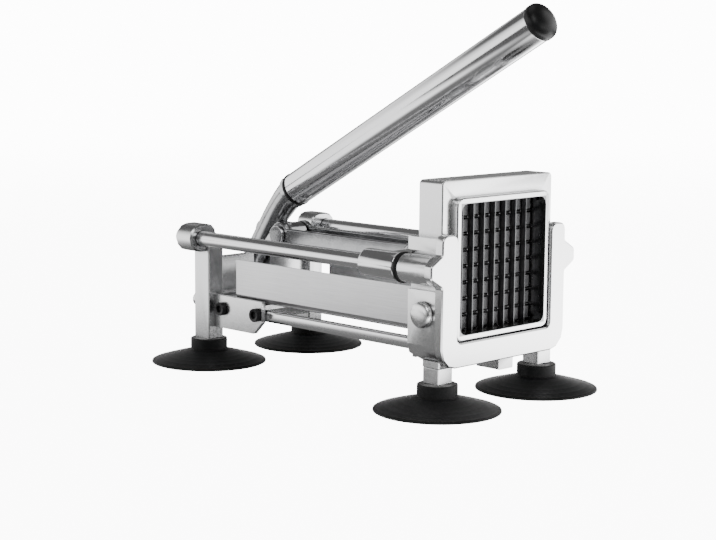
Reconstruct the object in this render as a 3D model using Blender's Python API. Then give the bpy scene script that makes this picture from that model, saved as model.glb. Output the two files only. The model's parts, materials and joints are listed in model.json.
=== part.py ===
# French fry cutter: a hand lever draws a carriage along two side rods, and the
# carriage presses a potato with a block of square pegs through a grid of crossed knives.
# Metres. X runs across the machine, the knife end faces -Y, Z is up.
# The origin is on the table, under the middle of the whole machine.

import math

import bmesh
import bpy
from mathutils import Matrix, Vector

# Clearances and cutting
CLEARANCE = 0.0003          # between pieces that seat on each other
RUNNING_GAP = 0.0005        # between pieces that slide or turn past each other
OVERRUN = 0.002             # how far a cutter runs past the face it cuts
FUSE = 0.0005               # how far the shapes of one casting reach into each other

# How finely round shapes are cut, in counts
ARC_STEPS = 3
ROUND_STEPS = 24
SMALL_STEPS = 12
BEND_STEPS = 9
SMOOTH_ANGLE = math.radians(32)

# Feet
FOOT_HALF_X = 0.0452
FOOT_HALF_Y = 0.1020
CUP_RADIUS = 0.0376
CUP_HEIGHT = 0.0160
CUP_RIM_WIDTH = 0.0026
CUP_RIM_HEIGHT = 0.0012
CUP_SKIN = 0.0016
CUP_SHOULDER_HEIGHT = 0.0080
CUP_HOLLOW = 0.0036
CUP_COLLAR_RADIUS = 0.0120
CUP_COLLAR_ROUND = 0.0006
CUP_SOCKET_DEPTH = 0.0068
STUD_RADIUS = 0.0031
STUD_HOLD = 0.0120          # how far a rear stud reaches up into its leg
POST_WIDTH = 0.0126
POST_ROUND = 0.0012
FRONT_STUD_HOLD = 0.0030    # how far a front post's stud reaches up into the frame

# Side rods
ROD_HALF_X = 0.0560
ROD_Z = 0.0830
ROD_RADIUS = 0.00475
ROD_BOLT_RADIUS = 0.0026
ROD_BOLT_DEPTH = 0.0120
ROD_BOLT_HEAD_RADIUS = 0.0068
ROD_BOLT_HEAD_HEIGHT = 0.0042

# Knives and the frame that holds them
CELLS = 8
PITCH = 0.009525
KNIFE_THICKNESS = 0.0007
KNIFE_DEPTH = 0.0044
KNIFE_EDGE = 0.0012
KNIFE_SEAT = 0.0026         # how far a knife's end reaches into the blade frame
KNIFE_SETBACK = 0.0026      # from the blade frame's front face to the knives
WINDOW_CENTRE_Z = 0.0822
WINDOW_ROUND = 0.0012
WINDOW_FRONT_ROUND = 0.0050
BLADE_FRAME_AHEAD = 0.0056  # from the front posts' middle to the blade frame's front face
BLADE_FRAME_DEPTH = 0.0185
BLADE_FRAME_SIDE = 0.0111
BLADE_FRAME_END = 0.0134
BLADE_FRAME_ROUND = 0.0025
BLADE_FRAME_EDGE = 0.0006
RIM_WALL = 0.0034
RIM_HEIGHT = 0.0048
RIM_ROUND = 0.0048
RIM_EDGE = 0.0007

# Front frame
FRONT_PLATE_THICKNESS = 0.0063
FRONT_BOTTOM_Z = 0.0260
FRONT_PLATE_TOP_Z = 0.1035
FRONT_WALL_TOP_Z = 0.1013
FRONT_WALL_THICKNESS = 0.0060
KEEPER_THICKNESS = 0.0021
FRONT_CORNER_ROUND = 0.0120
FRONT_TOP_ROUND = 0.0045
FRONT_INNER_ROUND = 0.0035
FRONT_EDGE = 0.0008
EAR_REACH = 0.0649
EAR_TIP_HEIGHT = 0.0076
EAR_ROOT_HEIGHT = 0.0186
EAR_ROUND = 0.0022
BOSS_RADIUS = 0.0085
BOSS_WALL_BEHIND_ROD = 0.0045
RECESS_DEPTH = 0.0026
RECESS_HEIGHT_ABOVE = 0.0108
RECESS_HEIGHT_BELOW = 0.0122
HEEL_HEIGHT = 0.0075
HEEL_LENGTH = 0.0140
KEEPER_SIDE_GAP = 0.0005
KEEPER_BOTTOM_Z = 0.0300
LUG_OFFSET_X = 0.0022
LUG_WIDTH = 0.0130
LUG_LENGTH = 0.0180
LUG_DROP = 0.0062
PAD_MARGIN = 0.0002

# Screws that lock the blade frame
LOCK_SETBACK = 0.0090       # from the blade frame's front face
LOCK_Z = 0.0570
LOCK_SHANK_RADIUS = 0.0040
LOCK_HEAD_RADIUS = 0.0078
LOCK_HEAD_HEIGHT = 0.0042
LOCK_HEAD_ROUND = 0.0022

# Stop rings, sleeves and carriage
RING_RADIUS = 0.0092
RING_WIDTH = 0.0034
SLEEVE_RADIUS = 0.0085
SLEEVE_LENGTH = 0.0279
BEAM_HEIGHT = 0.0130
BEAM_DEPTH = 0.0160
BEAM_SETBACK = 0.0040       # from the sleeve's front end to the beam
BEAM_ROUND = 0.0015
BACKING_HALF_WIDTH = 0.0340
BACKING_BOTTOM_Z = 0.0500
BACKING_TOP_Z = 0.0960
BACKING_THICKNESS = 0.0050
BACKING_ROUND = 0.0040
STRUT_HALF_X = 0.0270
STRUT_WIDTH = 0.0060
HOOK_HALF_WIDTH = 0.0078
HOOK_SIDE = 0.0040
HOOK_RISE = 0.0055
HOOK_FLARE = 0.0026
HOOK_ROUND = 0.0015

# Pusher block
PEG_GAP = 0.0020
PEG_TAPER = 0.0003
PEG_SETBACK = 0.0037        # from the knives' front edges to the pegs' faces
PEG_CLEAR_OF_WINDOW = 0.0006
PUSHER_BASE = 0.0052
PUSHER_SCREW_HALF_X = 0.0180
PUSHER_SCREW_RADIUS = 0.0020
PUSHER_SCREW_HEAD_RADIUS = 0.0042
PUSHER_SCREW_HEAD_HEIGHT = 0.0026
PUSHER_SCREW_HOLD = 0.0030
PUSHER_SCREW_DROP = 0.0160  # below the rods' height

# Tray
TRAY_HALF_WIDTH = 0.0425
TRAY_TOP_Z = 0.0698
TRAY_FLOOR_Z = 0.0432
TRAY_SHEET = 0.0010
TRAY_BEND = 0.0040
TRAY_SETBACK = 0.01705      # from the rear legs' front faces to the tray's end
TRAY_SCREW_HALF_X = 0.0240
TRAY_SCREW_INSET = 0.0120
TRAY_SCREW_HEAD_RADIUS = 0.0032
TRAY_SCREW_RADIUS = 0.0016
TRAY_SCREW_LENGTH = 0.0022

# Rear bracket
LEG_DEPTH = 0.0147
LEG_ROUND = 0.0010
LEG_WIDTH = 0.0126
REAR_EAR_DEPTH = 0.0155
REAR_EAR_SETBACK = 0.0019   # from the leg's front face to the ear's
REAR_EAR_RADIUS = 0.0090
REAR_EAR_INNER_X = 0.0430
REAR_EAR_INNER_ROUND = 0.0070
REAR_EAR_EDGE = 0.0010
CROSSBAR_BOTTOM_Z = 0.0235
CROSSBAR_TOP_Z = 0.0454
CROSSBAR_THICKNESS = 0.0056
WEB_THICKNESS = 0.0050
WEB_TOP_Z = 0.0690
CHEEK_THICKNESS = 0.0034
CHEEK_LENGTH = 0.0452
CHEEK_BOTTOM_Z = 0.0240
CHEEK_CHAMFER = 0.0080
SHELF_THICKNESS = 0.0030
LEG_BOLT_Z = 0.0405
LEG_BOLT_RADIUS = 0.0028
LEG_BOLT_HOLD = 0.0080
LEG_BOLT_HEAD_RADIUS = 0.0050
LEG_BOLT_HEAD_HEIGHT = 0.0052

# Base rails and their screws
RAIL_THICKNESS = 0.0057
RAIL_BOTTOM_Z = 0.0320
RAIL_HEIGHT = 0.0076
RAIL_SCREW_Z = 0.0368
RAIL_SCREW_SETBACKS = (0.04125, 0.00755)    # from the rear legs' front faces
RAIL_SCREW_RADIUS = 0.0021
RAIL_SCREW_HOLD = 0.0036
RAIL_SCREW_HEAD_RADIUS = 0.0043
RAIL_SCREW_HEAD_HEIGHT = 0.0030
RAIL_SCREW_SOCKET_RADIUS = 0.0022
RAIL_SCREW_SOCKET_DEPTH = 0.0018

# Lever pivot, link pin and hook pin, in the middle plane
PIVOT_BEHIND_LEGS = 0.0130  # from the rear legs' middle
PIVOT_Z = 0.0540
LINK_PIN_AHEAD = 0.0450     # of the pivot
HOOK_PIN_SETBACK = 0.0127   # from the carriage's beam
LINK_Z = 0.0840
PIVOT_RADIUS = 0.0050
PIVOT_BOSS_RADIUS = 0.0118
PIVOT_LUG_RADIUS = 0.0108
PIVOT_LUG_THICKNESS = 0.0060
PIVOT_LUG_FOOT_Z = 0.0300
PIVOT_HEAD_RADIUS = 0.0080
PIVOT_HEAD_HEIGHT = 0.0048
PIVOT_NUT_HEIGHT = 0.0065
PIVOT_THREAD_END = 0.0020
LINK_PIN_RADIUS = 0.0040
LINK_PIN_HEAD_RADIUS = 0.0062
LINK_PIN_HEAD_HEIGHT = 0.0022
LINK_PIN_BOSS_RADIUS = 0.0078
HOOK_PIN_RADIUS = 0.0030
HOOK_PIN_HEAD_RADIUS = 0.0048
HOOK_PIN_HEAD_HEIGHT = 0.0018
LINK_THICKNESS = 0.0042
LINK_REAR_EYE_RADIUS = 0.0082
LINK_FRONT_EYE_RADIUS = 0.0060
LINK_BAR_HEIGHT = 0.0092
LINK_EDGE = 0.0006

# Lever arm and handle
ARM_HALF_WIDTH = 0.0070
ARM_HALF_THICKNESS = 0.0080
ARM_KNEE_HALF_WIDTH = 0.0104
ARM_KNEE_HALF_THICKNESS = 0.0100
ARM_WEB_HALF_WIDTH = 0.0045
ARM_FOOT_LEAN = math.radians(58.5)
ARM_FOOT_REACH = 0.0220
ARM_KNEE_REACH = 0.0130
ARM_FLANGE_THICKNESS = 0.0034
ARM_SPIGOT_LENGTH = 0.0240
HANDLE_FOOT_AHEAD = 0.0481  # of the pivot
HANDLE_FOOT_Z = 0.1133
HANDLE_ANGLE = math.radians(28.5)
HANDLE_LENGTH = 0.2260
HANDLE_RADIUS = 0.0110
HANDLE_WALL = 0.0015
COLLAR_WIDTH = 0.0022
COLLAR_PROUD = 0.0004
CAP_SKIRT = 0.0022
CAP_DOME = 0.0062
CAP_PLUG_LENGTH = 0.0120

# Shares of a length
WELD_SHARE = 0.01           # of a clearance, within which points become one
DOME_SHARES = ((0.55, 0.90), (0.80, 0.52))
SKIRT_SHARES = ((0.30, 0.34), (0.65, 0.72))
HEAD_CORNER_SHARE = 1 / 3   # of a screw head's round or height
EAR_ROUND_SHARE = 0.98      # of the rear ear's radius
ARM_TAPER_SHARE = 0.65      # of the arm, from the knee, over which it gets slimmer
ARM_WEB_SHARE = 0.55        # of the arm, from the knee, where the link pin's web joins it
LOOK_SHARE = 0.01           # of the arm, either way, that its heading is taken over

# Sizes that follow from the ones above
WINDOW = CELLS * PITCH
WINDOW_BOTTOM_Z = WINDOW_CENTRE_Z - WINDOW / 2
WINDOW_TOP_Z = WINDOW_CENTRE_Z + WINDOW / 2
BLADE_FRAME_FRONT_Y = -FOOT_HALF_Y - BLADE_FRAME_AHEAD
BLADE_FRAME_HALF_X = WINDOW / 2 + BLADE_FRAME_SIDE
BLADE_FRAME_BOTTOM_Z = WINDOW_BOTTOM_Z - BLADE_FRAME_END
BLADE_FRAME_TOP_Z = WINDOW_TOP_Z + BLADE_FRAME_END
BLADE_FRAME_REAR_Y = BLADE_FRAME_FRONT_Y + BLADE_FRAME_DEPTH
FRONT_PLATE_REAR_Y = BLADE_FRAME_FRONT_Y - CLEARANCE
FRONT_Y = FRONT_PLATE_REAR_Y - FRONT_PLATE_THICKNESS
CHANNEL_HALF_X = BLADE_FRAME_HALF_X + CLEARANCE
FRONT_HALF_X = CHANNEL_HALF_X + FRONT_WALL_THICKNESS
CHANNEL_FLOOR_Z = BLADE_FRAME_BOTTOM_Z - CLEARANCE
RIM_HALF_X = WINDOW / 2 + RIM_WALL
ARM_INNER_X = RIM_HALF_X + RUNNING_GAP
OPENING_BOTTOM_Z = WINDOW_BOTTOM_Z - RIM_WALL - RUNNING_GAP
KNIFE_FRONT_Y = BLADE_FRAME_FRONT_Y + KNIFE_SETBACK
LOCK_Y = BLADE_FRAME_FRONT_Y + LOCK_SETBACK
SECOND_KNIFE_Y = KNIFE_FRONT_Y + KNIFE_DEPTH + CLEARANCE
ROD_BORE = ROD_RADIUS + CLEARANCE
STUD_BORE = STUD_RADIUS + CLEARANCE
KEEPER_FRONT_Y = BLADE_FRAME_REAR_Y + CLEARANCE
FRONT_WALL_REAR_Y = KEEPER_FRONT_Y + KEEPER_THICKNESS
CHANNEL_ROUND = BLADE_FRAME_ROUND + CLEARANCE
TRAY_SEAT_Z = TRAY_FLOOR_Z - CLEARANCE
RING_FRONT_Y = FRONT_WALL_REAR_Y + CLEARANCE
RING_REAR_Y = RING_FRONT_Y + RING_WIDTH
SLEEVE_FRONT_Y = RING_REAR_Y + CLEARANCE
SLEEVE_REAR_Y = SLEEVE_FRONT_Y + SLEEVE_LENGTH
BEAM_FRONT_Y = SLEEVE_FRONT_Y + BEAM_SETBACK
BEAM_REAR_Y = BEAM_FRONT_Y + BEAM_DEPTH
HOOK_PIN_Y = BEAM_REAR_Y + HOOK_PIN_SETBACK
PEG_FACE_Y = KNIFE_FRONT_Y + PEG_SETBACK
PUSHER_REAR_Y = BLADE_FRAME_REAR_Y - CLEARANCE
PUSHER_BASE_Y = PUSHER_REAR_Y - PUSHER_BASE
BACKING_FRONT_Y = PUSHER_REAR_Y + CLEARANCE
BACKING_REAR_Y = BACKING_FRONT_Y + BACKING_THICKNESS
LEG_FRONT_Y = FOOT_HALF_Y - LEG_DEPTH / 2
LEG_REAR_Y = FOOT_HALF_Y + LEG_DEPTH / 2
LEG_FOOT_Z = CUP_HEIGHT + CLEARANCE
TRAY_REAR_Y = LEG_FRONT_Y - TRAY_SETBACK
CHEEK_FRONT_Y = LEG_FRONT_Y - CHEEK_LENGTH
RAIL_SCREW_Y = [LEG_FRONT_Y - setback for setback in RAIL_SCREW_SETBACKS]
PIVOT_Y = FOOT_HALF_Y + PIVOT_BEHIND_LEGS
LINK_PIN_Y = PIVOT_Y - LINK_PIN_AHEAD
HANDLE_FOOT_Y = PIVOT_Y - HANDLE_FOOT_AHEAD
REAR_EAR_FRONT_Y = LEG_FRONT_Y + REAR_EAR_SETBACK
REAR_EAR_REAR_Y = REAR_EAR_FRONT_Y + REAR_EAR_DEPTH
CROSSBAR_REAR_Y = LEG_FRONT_Y + CROSSBAR_THICKNESS
WEB_REAR_Y = CROSSBAR_REAR_Y + WEB_THICKNESS
CHEEK_INNER_X = TRAY_HALF_WIDTH + CLEARANCE
CHEEK_OUTER_X = CHEEK_INNER_X + CHEEK_THICKNESS
RAIL_OUTER_X = CHEEK_INNER_X - CLEARANCE
RAIL_INNER_X = RAIL_OUTER_X - RAIL_THICKNESS
PIVOT_SLOT_HALF_X = ARM_HALF_WIDTH + RUNNING_GAP
PIVOT_LUG_OUTER_X = PIVOT_SLOT_HALF_X + PIVOT_LUG_THICKNESS
LINK_INNER_X = max(ARM_HALF_WIDTH, HOOK_HALF_WIDTH) + RUNNING_GAP
LINK_OUTER_X = LINK_INNER_X + LINK_THICKNESS
HANDLE_BORE = HANDLE_RADIUS - HANDLE_WALL
SPIGOT_RADIUS = HANDLE_BORE - CLEARANCE
HANDLE_DIRECTION = Vector((0, -math.cos(HANDLE_ANGLE), math.sin(HANDLE_ANGLE)))
HANDLE_FOOT = Vector((0, HANDLE_FOOT_Y, HANDLE_FOOT_Z))
TUBE_START = COLLAR_WIDTH + CLEARANCE
TUBE_END = TUBE_START + HANDLE_LENGTH
CAP_START = TUBE_END + CLEARANCE
CAP_END = CAP_START + CAP_SKIRT + CAP_DOME
PIVOT = Vector((0, PIVOT_Y, PIVOT_Z))
LINK_PIN = Vector((0, LINK_PIN_Y, LINK_Z))
CAP_SKIRT_END = HANDLE_FOOT + HANDLE_DIRECTION * (CAP_START + CAP_SKIRT)
CAP_SIDE_REACH = (HANDLE_RADIUS + COLLAR_PROUD) * math.sin(HANDLE_ANGLE)
CAP_END_REACH = CAP_DOME * math.cos(HANDLE_ANGLE)
CAP_REACH_Y = CAP_SKIRT_END.y - math.hypot(CAP_SIDE_REACH, CAP_END_REACH)
MACHINE_FRONT_Y = min(CAP_REACH_Y, -FOOT_HALF_Y - CUP_RADIUS)
MACHINE_REAR_Y = FOOT_HALF_Y + CUP_RADIUS
MIDDLE_SHIFT_Y = -(MACHINE_FRONT_Y + MACHINE_REAR_Y) / 2

SIDES = (("left", -1), ("right", 1))

# Colour, metallic and roughness of each finish
FINISHES = {
    "cast_aluminium": ((0.72, 0.73, 0.74), 1.0, 0.34),
    "brushed_steel": ((0.56, 0.57, 0.58), 1.0, 0.38),
    "polished_steel": ((0.70, 0.71, 0.72), 1.0, 0.14),
    "knife_steel": ((0.62, 0.63, 0.65), 1.0, 0.22),
    "black_rubber": ((0.012, 0.012, 0.013), 0.0, 0.55),
    "black_plastic": ((0.02, 0.02, 0.021), 0.0, 0.38),
    "black_oxide": ((0.03, 0.03, 0.03), 1.0, 0.45),
}


def clear_scene():
    for item in list(bpy.data.objects):
        bpy.data.objects.remove(item, do_unlink=True)


def finish_material(name, finish):
    colour, metallic, roughness = FINISHES[finish]
    material = bpy.data.materials.new(name + "_finish")
    material.use_nodes = True
    shader = material.node_tree.nodes["Principled BSDF"]
    shader.inputs["Base Color"].default_value = (*colour, 1)
    shader.inputs["Metallic"].default_value = metallic
    shader.inputs["Roughness"].default_value = roughness
    material.diffuse_color = (*colour, 1)
    return material


def empty_at(name, place, parent):
    empty = bpy.data.objects.new(name, None)
    empty.location = place
    empty.parent = parent
    bpy.context.scene.collection.objects.link(empty)
    return empty


# The mesh of a shape, as an object that stands in the machine's own coordinates
def shape_object(mesh_builder, name="shape"):
    bmesh.ops.recalc_face_normals(mesh_builder, faces=mesh_builder.faces)
    mesh = bpy.data.meshes.new(name)
    mesh_builder.to_mesh(mesh)
    mesh_builder.free()
    item = bpy.data.objects.new(name, mesh)
    bpy.context.scene.collection.objects.link(item)
    return item


# Replaces each corner (u, v, radius) of an outline by an arc
def rounded(corners, steps=ARC_STEPS):
    outline = []
    for index, (u, v, radius) in enumerate(corners):
        here = Vector((u, v))
        if radius == 0:
            outline.append(here)
            continue
        before = (Vector(corners[index - 1][:2]) - here).normalized()
        after = (Vector(corners[(index + 1) % len(corners)][:2]) - here).normalized()
        half = before.angle(after) / 2
        centre = here + (before + after).normalized() * radius / math.sin(half)
        start = here + before * radius / math.tan(half) - centre
        finish = here + after * radius / math.tan(half) - centre
        first = math.atan2(start.y, start.x)
        turn = math.atan2(finish.y, finish.x) - first
        turn = (turn + math.pi) % (2 * math.pi) - math.pi
        for step in range(steps + 1):
            angle = first + turn * step / steps
            outline.append(centre + radius * Vector((math.cos(angle), math.sin(angle))))
    return outline


def rounded_box_outline(low_u, high_u, low_v, high_v, radius):
    corners = [(low_u, low_v), (high_u, low_v), (high_u, high_v), (low_u, high_v)]
    return rounded([(u, v, radius) for u, v in corners])


def circle_outline(centre_u, centre_v, radius, steps=ROUND_STEPS):
    turns = [2 * math.pi * step / steps for step in range(steps)]
    return [Vector((centre_u + radius * math.cos(t), centre_v + radius * math.sin(t))) for t in turns]


# Outline of two circles and the straight flanks between them, in the YZ plane
def two_eye_outline(first, first_radius, second, second_radius, steps=ARC_STEPS * 3):
    span = Vector(second) - Vector(first)
    heading = math.atan2(span.y, span.x)
    spread = math.acos((first_radius - second_radius) / span.length)
    outline = []
    for step in range(steps + 1):
        angle = heading + spread + (2 * math.pi - 2 * spread) * step / steps
        outline.append(Vector(first) + first_radius * Vector((math.cos(angle), math.sin(angle))))
    for step in range(steps + 1):
        angle = heading - spread + 2 * spread * step / steps
        outline.append(Vector(second) + second_radius * Vector((math.cos(angle), math.sin(angle))))
    return outline


# An outline pushed along an axis. Along X its points are (Y, Z), along Y (X, Z), along Z (X, Y).
def prism(outline, axis, low, high, edge=0):
    place = {
        "X": lambda u, v, w: (w, u, v),
        "Y": lambda u, v, w: (u, w, v),
        "Z": lambda u, v, w: (u, v, w),
    }[axis]
    build = bmesh.new()
    rings = [[build.verts.new(place(u, v, w)) for u, v in outline] for w in (low, high)]
    caps = [build.faces.new(ring) for ring in rings]
    count = len(outline)
    for index in range(count):
        follow = (index + 1) % count
        build.faces.new((rings[0][index], rings[0][follow], rings[1][follow], rings[1][index]))
    bmesh.ops.recalc_face_normals(build, faces=build.faces)
    if edge:
        rim = [item for cap in caps for item in cap.edges]
        bmesh.ops.bevel(build, geom=rim, offset=edge, segments=1, affect="EDGES", profile=0.5)
    return shape_object(build)


def box(low, high):
    outline = [(low[0], low[1]), (high[0], low[1]), (high[0], high[1]), (low[0], high[1])]
    return prism([Vector(point) for point in outline], "Z", low[2], high[2])


# A round bar along an axis, centred on the two coordinates across it
def bar(axis, centre, radius, low, high, steps=ROUND_STEPS, edge=0):
    return prism(circle_outline(*centre, radius, steps), axis, low, high, edge)


# A profile of (radius, height) points turned about an axis from an origin point
def turned(profile, origin=(0, 0, 0), direction=(0, 0, 1), steps=ROUND_STEPS):
    build = bmesh.new()
    points = [build.verts.new((radius, 0, height)) for radius, height in profile]
    count = len(points)
    for index in range(count):
        build.edges.new((points[index], points[(index + 1) % count]))
    bmesh.ops.spin(
        build, geom=build.verts[:] + build.edges[:], cent=(0, 0, 0), axis=(0, 0, 1),
        angle=2 * math.pi, steps=steps, use_merge=True,
    )
    bmesh.ops.remove_doubles(build, verts=build.verts, dist=CLEARANCE * WELD_SHARE)
    lone = [item for item in build.edges if not item.link_faces]
    bmesh.ops.delete(build, geom=lone, context="EDGES")
    turn = Vector((0, 0, 1)).rotation_difference(Vector(direction)).to_matrix().to_4x4()
    build.transform(Matrix.Translation(origin) @ turn)
    return shape_object(build)


def combine(target, tool, operation):
    modifier = target.modifiers.new(operation, "BOOLEAN")
    modifier.object = tool
    modifier.operation = operation
    modifier.solver = "EXACT"
    graph = bpy.context.evaluated_depsgraph_get()
    result = bpy.data.meshes.new_from_object(target.evaluated_get(graph))
    target.modifiers.clear()
    target.data = result
    bpy.data.objects.remove(tool, do_unlink=True)
    return target


def fuse(target, *tools):
    for tool in tools:
        combine(target, tool, "UNION")
    return target


def cut(target, *tools):
    for tool in tools:
        combine(target, tool, "DIFFERENCE")
    return target


# Names a finished piece, gives it its finish and hangs it on the empty that carries it
def finish_piece(item, name, finish, carrier):
    item.name = name
    item.data.name = name
    item.data.materials.clear()
    item.data.materials.append(finish_material(name, finish))
    item.data.transform(Matrix.Translation(-place_in_machine(carrier)))
    item.data.shade_smooth()
    item.data.set_sharp_from_angle(angle=SMOOTH_ANGLE)
    item.parent = carrier
    return item


# Where an empty stands in the machine's own coordinates
def place_in_machine(empty):
    if empty.parent is None:
        return Vector((0, 0, 0))
    return place_in_machine(empty.parent) + empty.location


def suction_cup(name, x, y, carrier):
    socket_radius = STUD_BORE
    rim_inner = CUP_RADIUS - CUP_RIM_WIDTH
    socket_floor = CUP_HEIGHT - CUP_SOCKET_DEPTH
    profile = [(0, CUP_HOLLOW)]
    profile += [(rim_inner * reach, CUP_HOLLOW * rise) for reach, rise in DOME_SHARES]
    profile += [(rim_inner, 0), (CUP_RADIUS - CUP_COLLAR_ROUND, 0)]
    profile += [(CUP_RADIUS, CUP_COLLAR_ROUND), (CUP_RADIUS, CUP_RIM_HEIGHT)]
    skirt = CUP_RADIUS - CUP_COLLAR_RADIUS
    rise = CUP_SHOULDER_HEIGHT - CUP_RIM_HEIGHT
    for across, up in SKIRT_SHARES:
        profile.append((CUP_RADIUS - skirt * across, CUP_RIM_HEIGHT + rise * up))
    profile += [(CUP_COLLAR_RADIUS + CUP_SKIN, CUP_SHOULDER_HEIGHT)]
    profile += [(CUP_COLLAR_RADIUS, CUP_SHOULDER_HEIGHT + CUP_SKIN)]
    profile += [(CUP_COLLAR_RADIUS, CUP_HEIGHT - CUP_COLLAR_ROUND)]
    profile += [(CUP_COLLAR_RADIUS - CUP_COLLAR_ROUND, CUP_HEIGHT), (socket_radius, CUP_HEIGHT)]
    profile += [(socket_radius, socket_floor), (0, socket_floor)]
    cup = turned(profile, (x, y, 0))
    return finish_piece(cup, name, "black_rubber", carrier)


def feet(carrier):
    stud_foot = CUP_HEIGHT - CUP_SOCKET_DEPTH + CLEARANCE
    for side, sign in SIDES:
        x = sign * FOOT_HALF_X
        suction_cup("suction_cup_front_" + side, x, -FOOT_HALF_Y, carrier)
        suction_cup("suction_cup_rear_" + side, x, FOOT_HALF_Y, carrier)
        half = POST_WIDTH / 2
        front, rear = -FOOT_HALF_Y - half, -FOOT_HALF_Y + half
        outline = rounded_box_outline(x - half, x + half, front, rear, POST_ROUND)
        post = prism(outline, "Z", LEG_FOOT_Z, FRONT_BOTTOM_Z - CLEARANCE)
        stud_top = FRONT_BOTTOM_Z + FRONT_STUD_HOLD - CLEARANCE
        fuse(post, bar("Z", (x, -FOOT_HALF_Y), STUD_RADIUS, stud_foot, stud_top, SMALL_STEPS))
        finish_piece(post, "front_post_" + side, "polished_steel", carrier)
        stud_top = LEG_FOOT_Z + STUD_HOLD - CLEARANCE
        stud = bar("Z", (x, FOOT_HALF_Y), STUD_RADIUS, stud_foot, stud_top, SMALL_STEPS)
        finish_piece(stud, "rear_stud_" + side, "polished_steel", carrier)


def front_plate_outline():
    ear_top = ROD_Z + EAR_ROOT_HEIGHT / 2
    ear_bottom = ROD_Z - EAR_ROOT_HEIGHT / 2
    tip_top = ROD_Z + EAR_TIP_HEIGHT / 2
    tip_bottom = ROD_Z - EAR_TIP_HEIGHT / 2
    half = [
        (ARM_INNER_X, OPENING_BOTTOM_Z, FRONT_INNER_ROUND),
        (ARM_INNER_X, FRONT_PLATE_TOP_Z, FRONT_TOP_ROUND),
        (FRONT_HALF_X, FRONT_PLATE_TOP_Z, FRONT_TOP_ROUND),
        (FRONT_HALF_X, ear_top, EAR_ROUND),
        (EAR_REACH, tip_top, EAR_ROUND),
        (EAR_REACH, tip_bottom, EAR_ROUND),
        (FRONT_HALF_X, ear_bottom, EAR_ROUND),
        (FRONT_HALF_X, FRONT_BOTTOM_Z, FRONT_CORNER_ROUND),
    ]
    other = [(-x, z, radius) for x, z, radius in reversed(half)]
    return rounded(half + other)


def channel_outline(top, outer, inner, bottom, floor, outer_round, inner_round):
    half = [
        (inner, floor, inner_round),
        (inner, top, 0),
        (outer, top, 0),
        (outer, bottom, outer_round),
    ]
    other = [(-x, z, radius) for x, z, radius in reversed(half)]
    return rounded(half + other)


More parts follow.
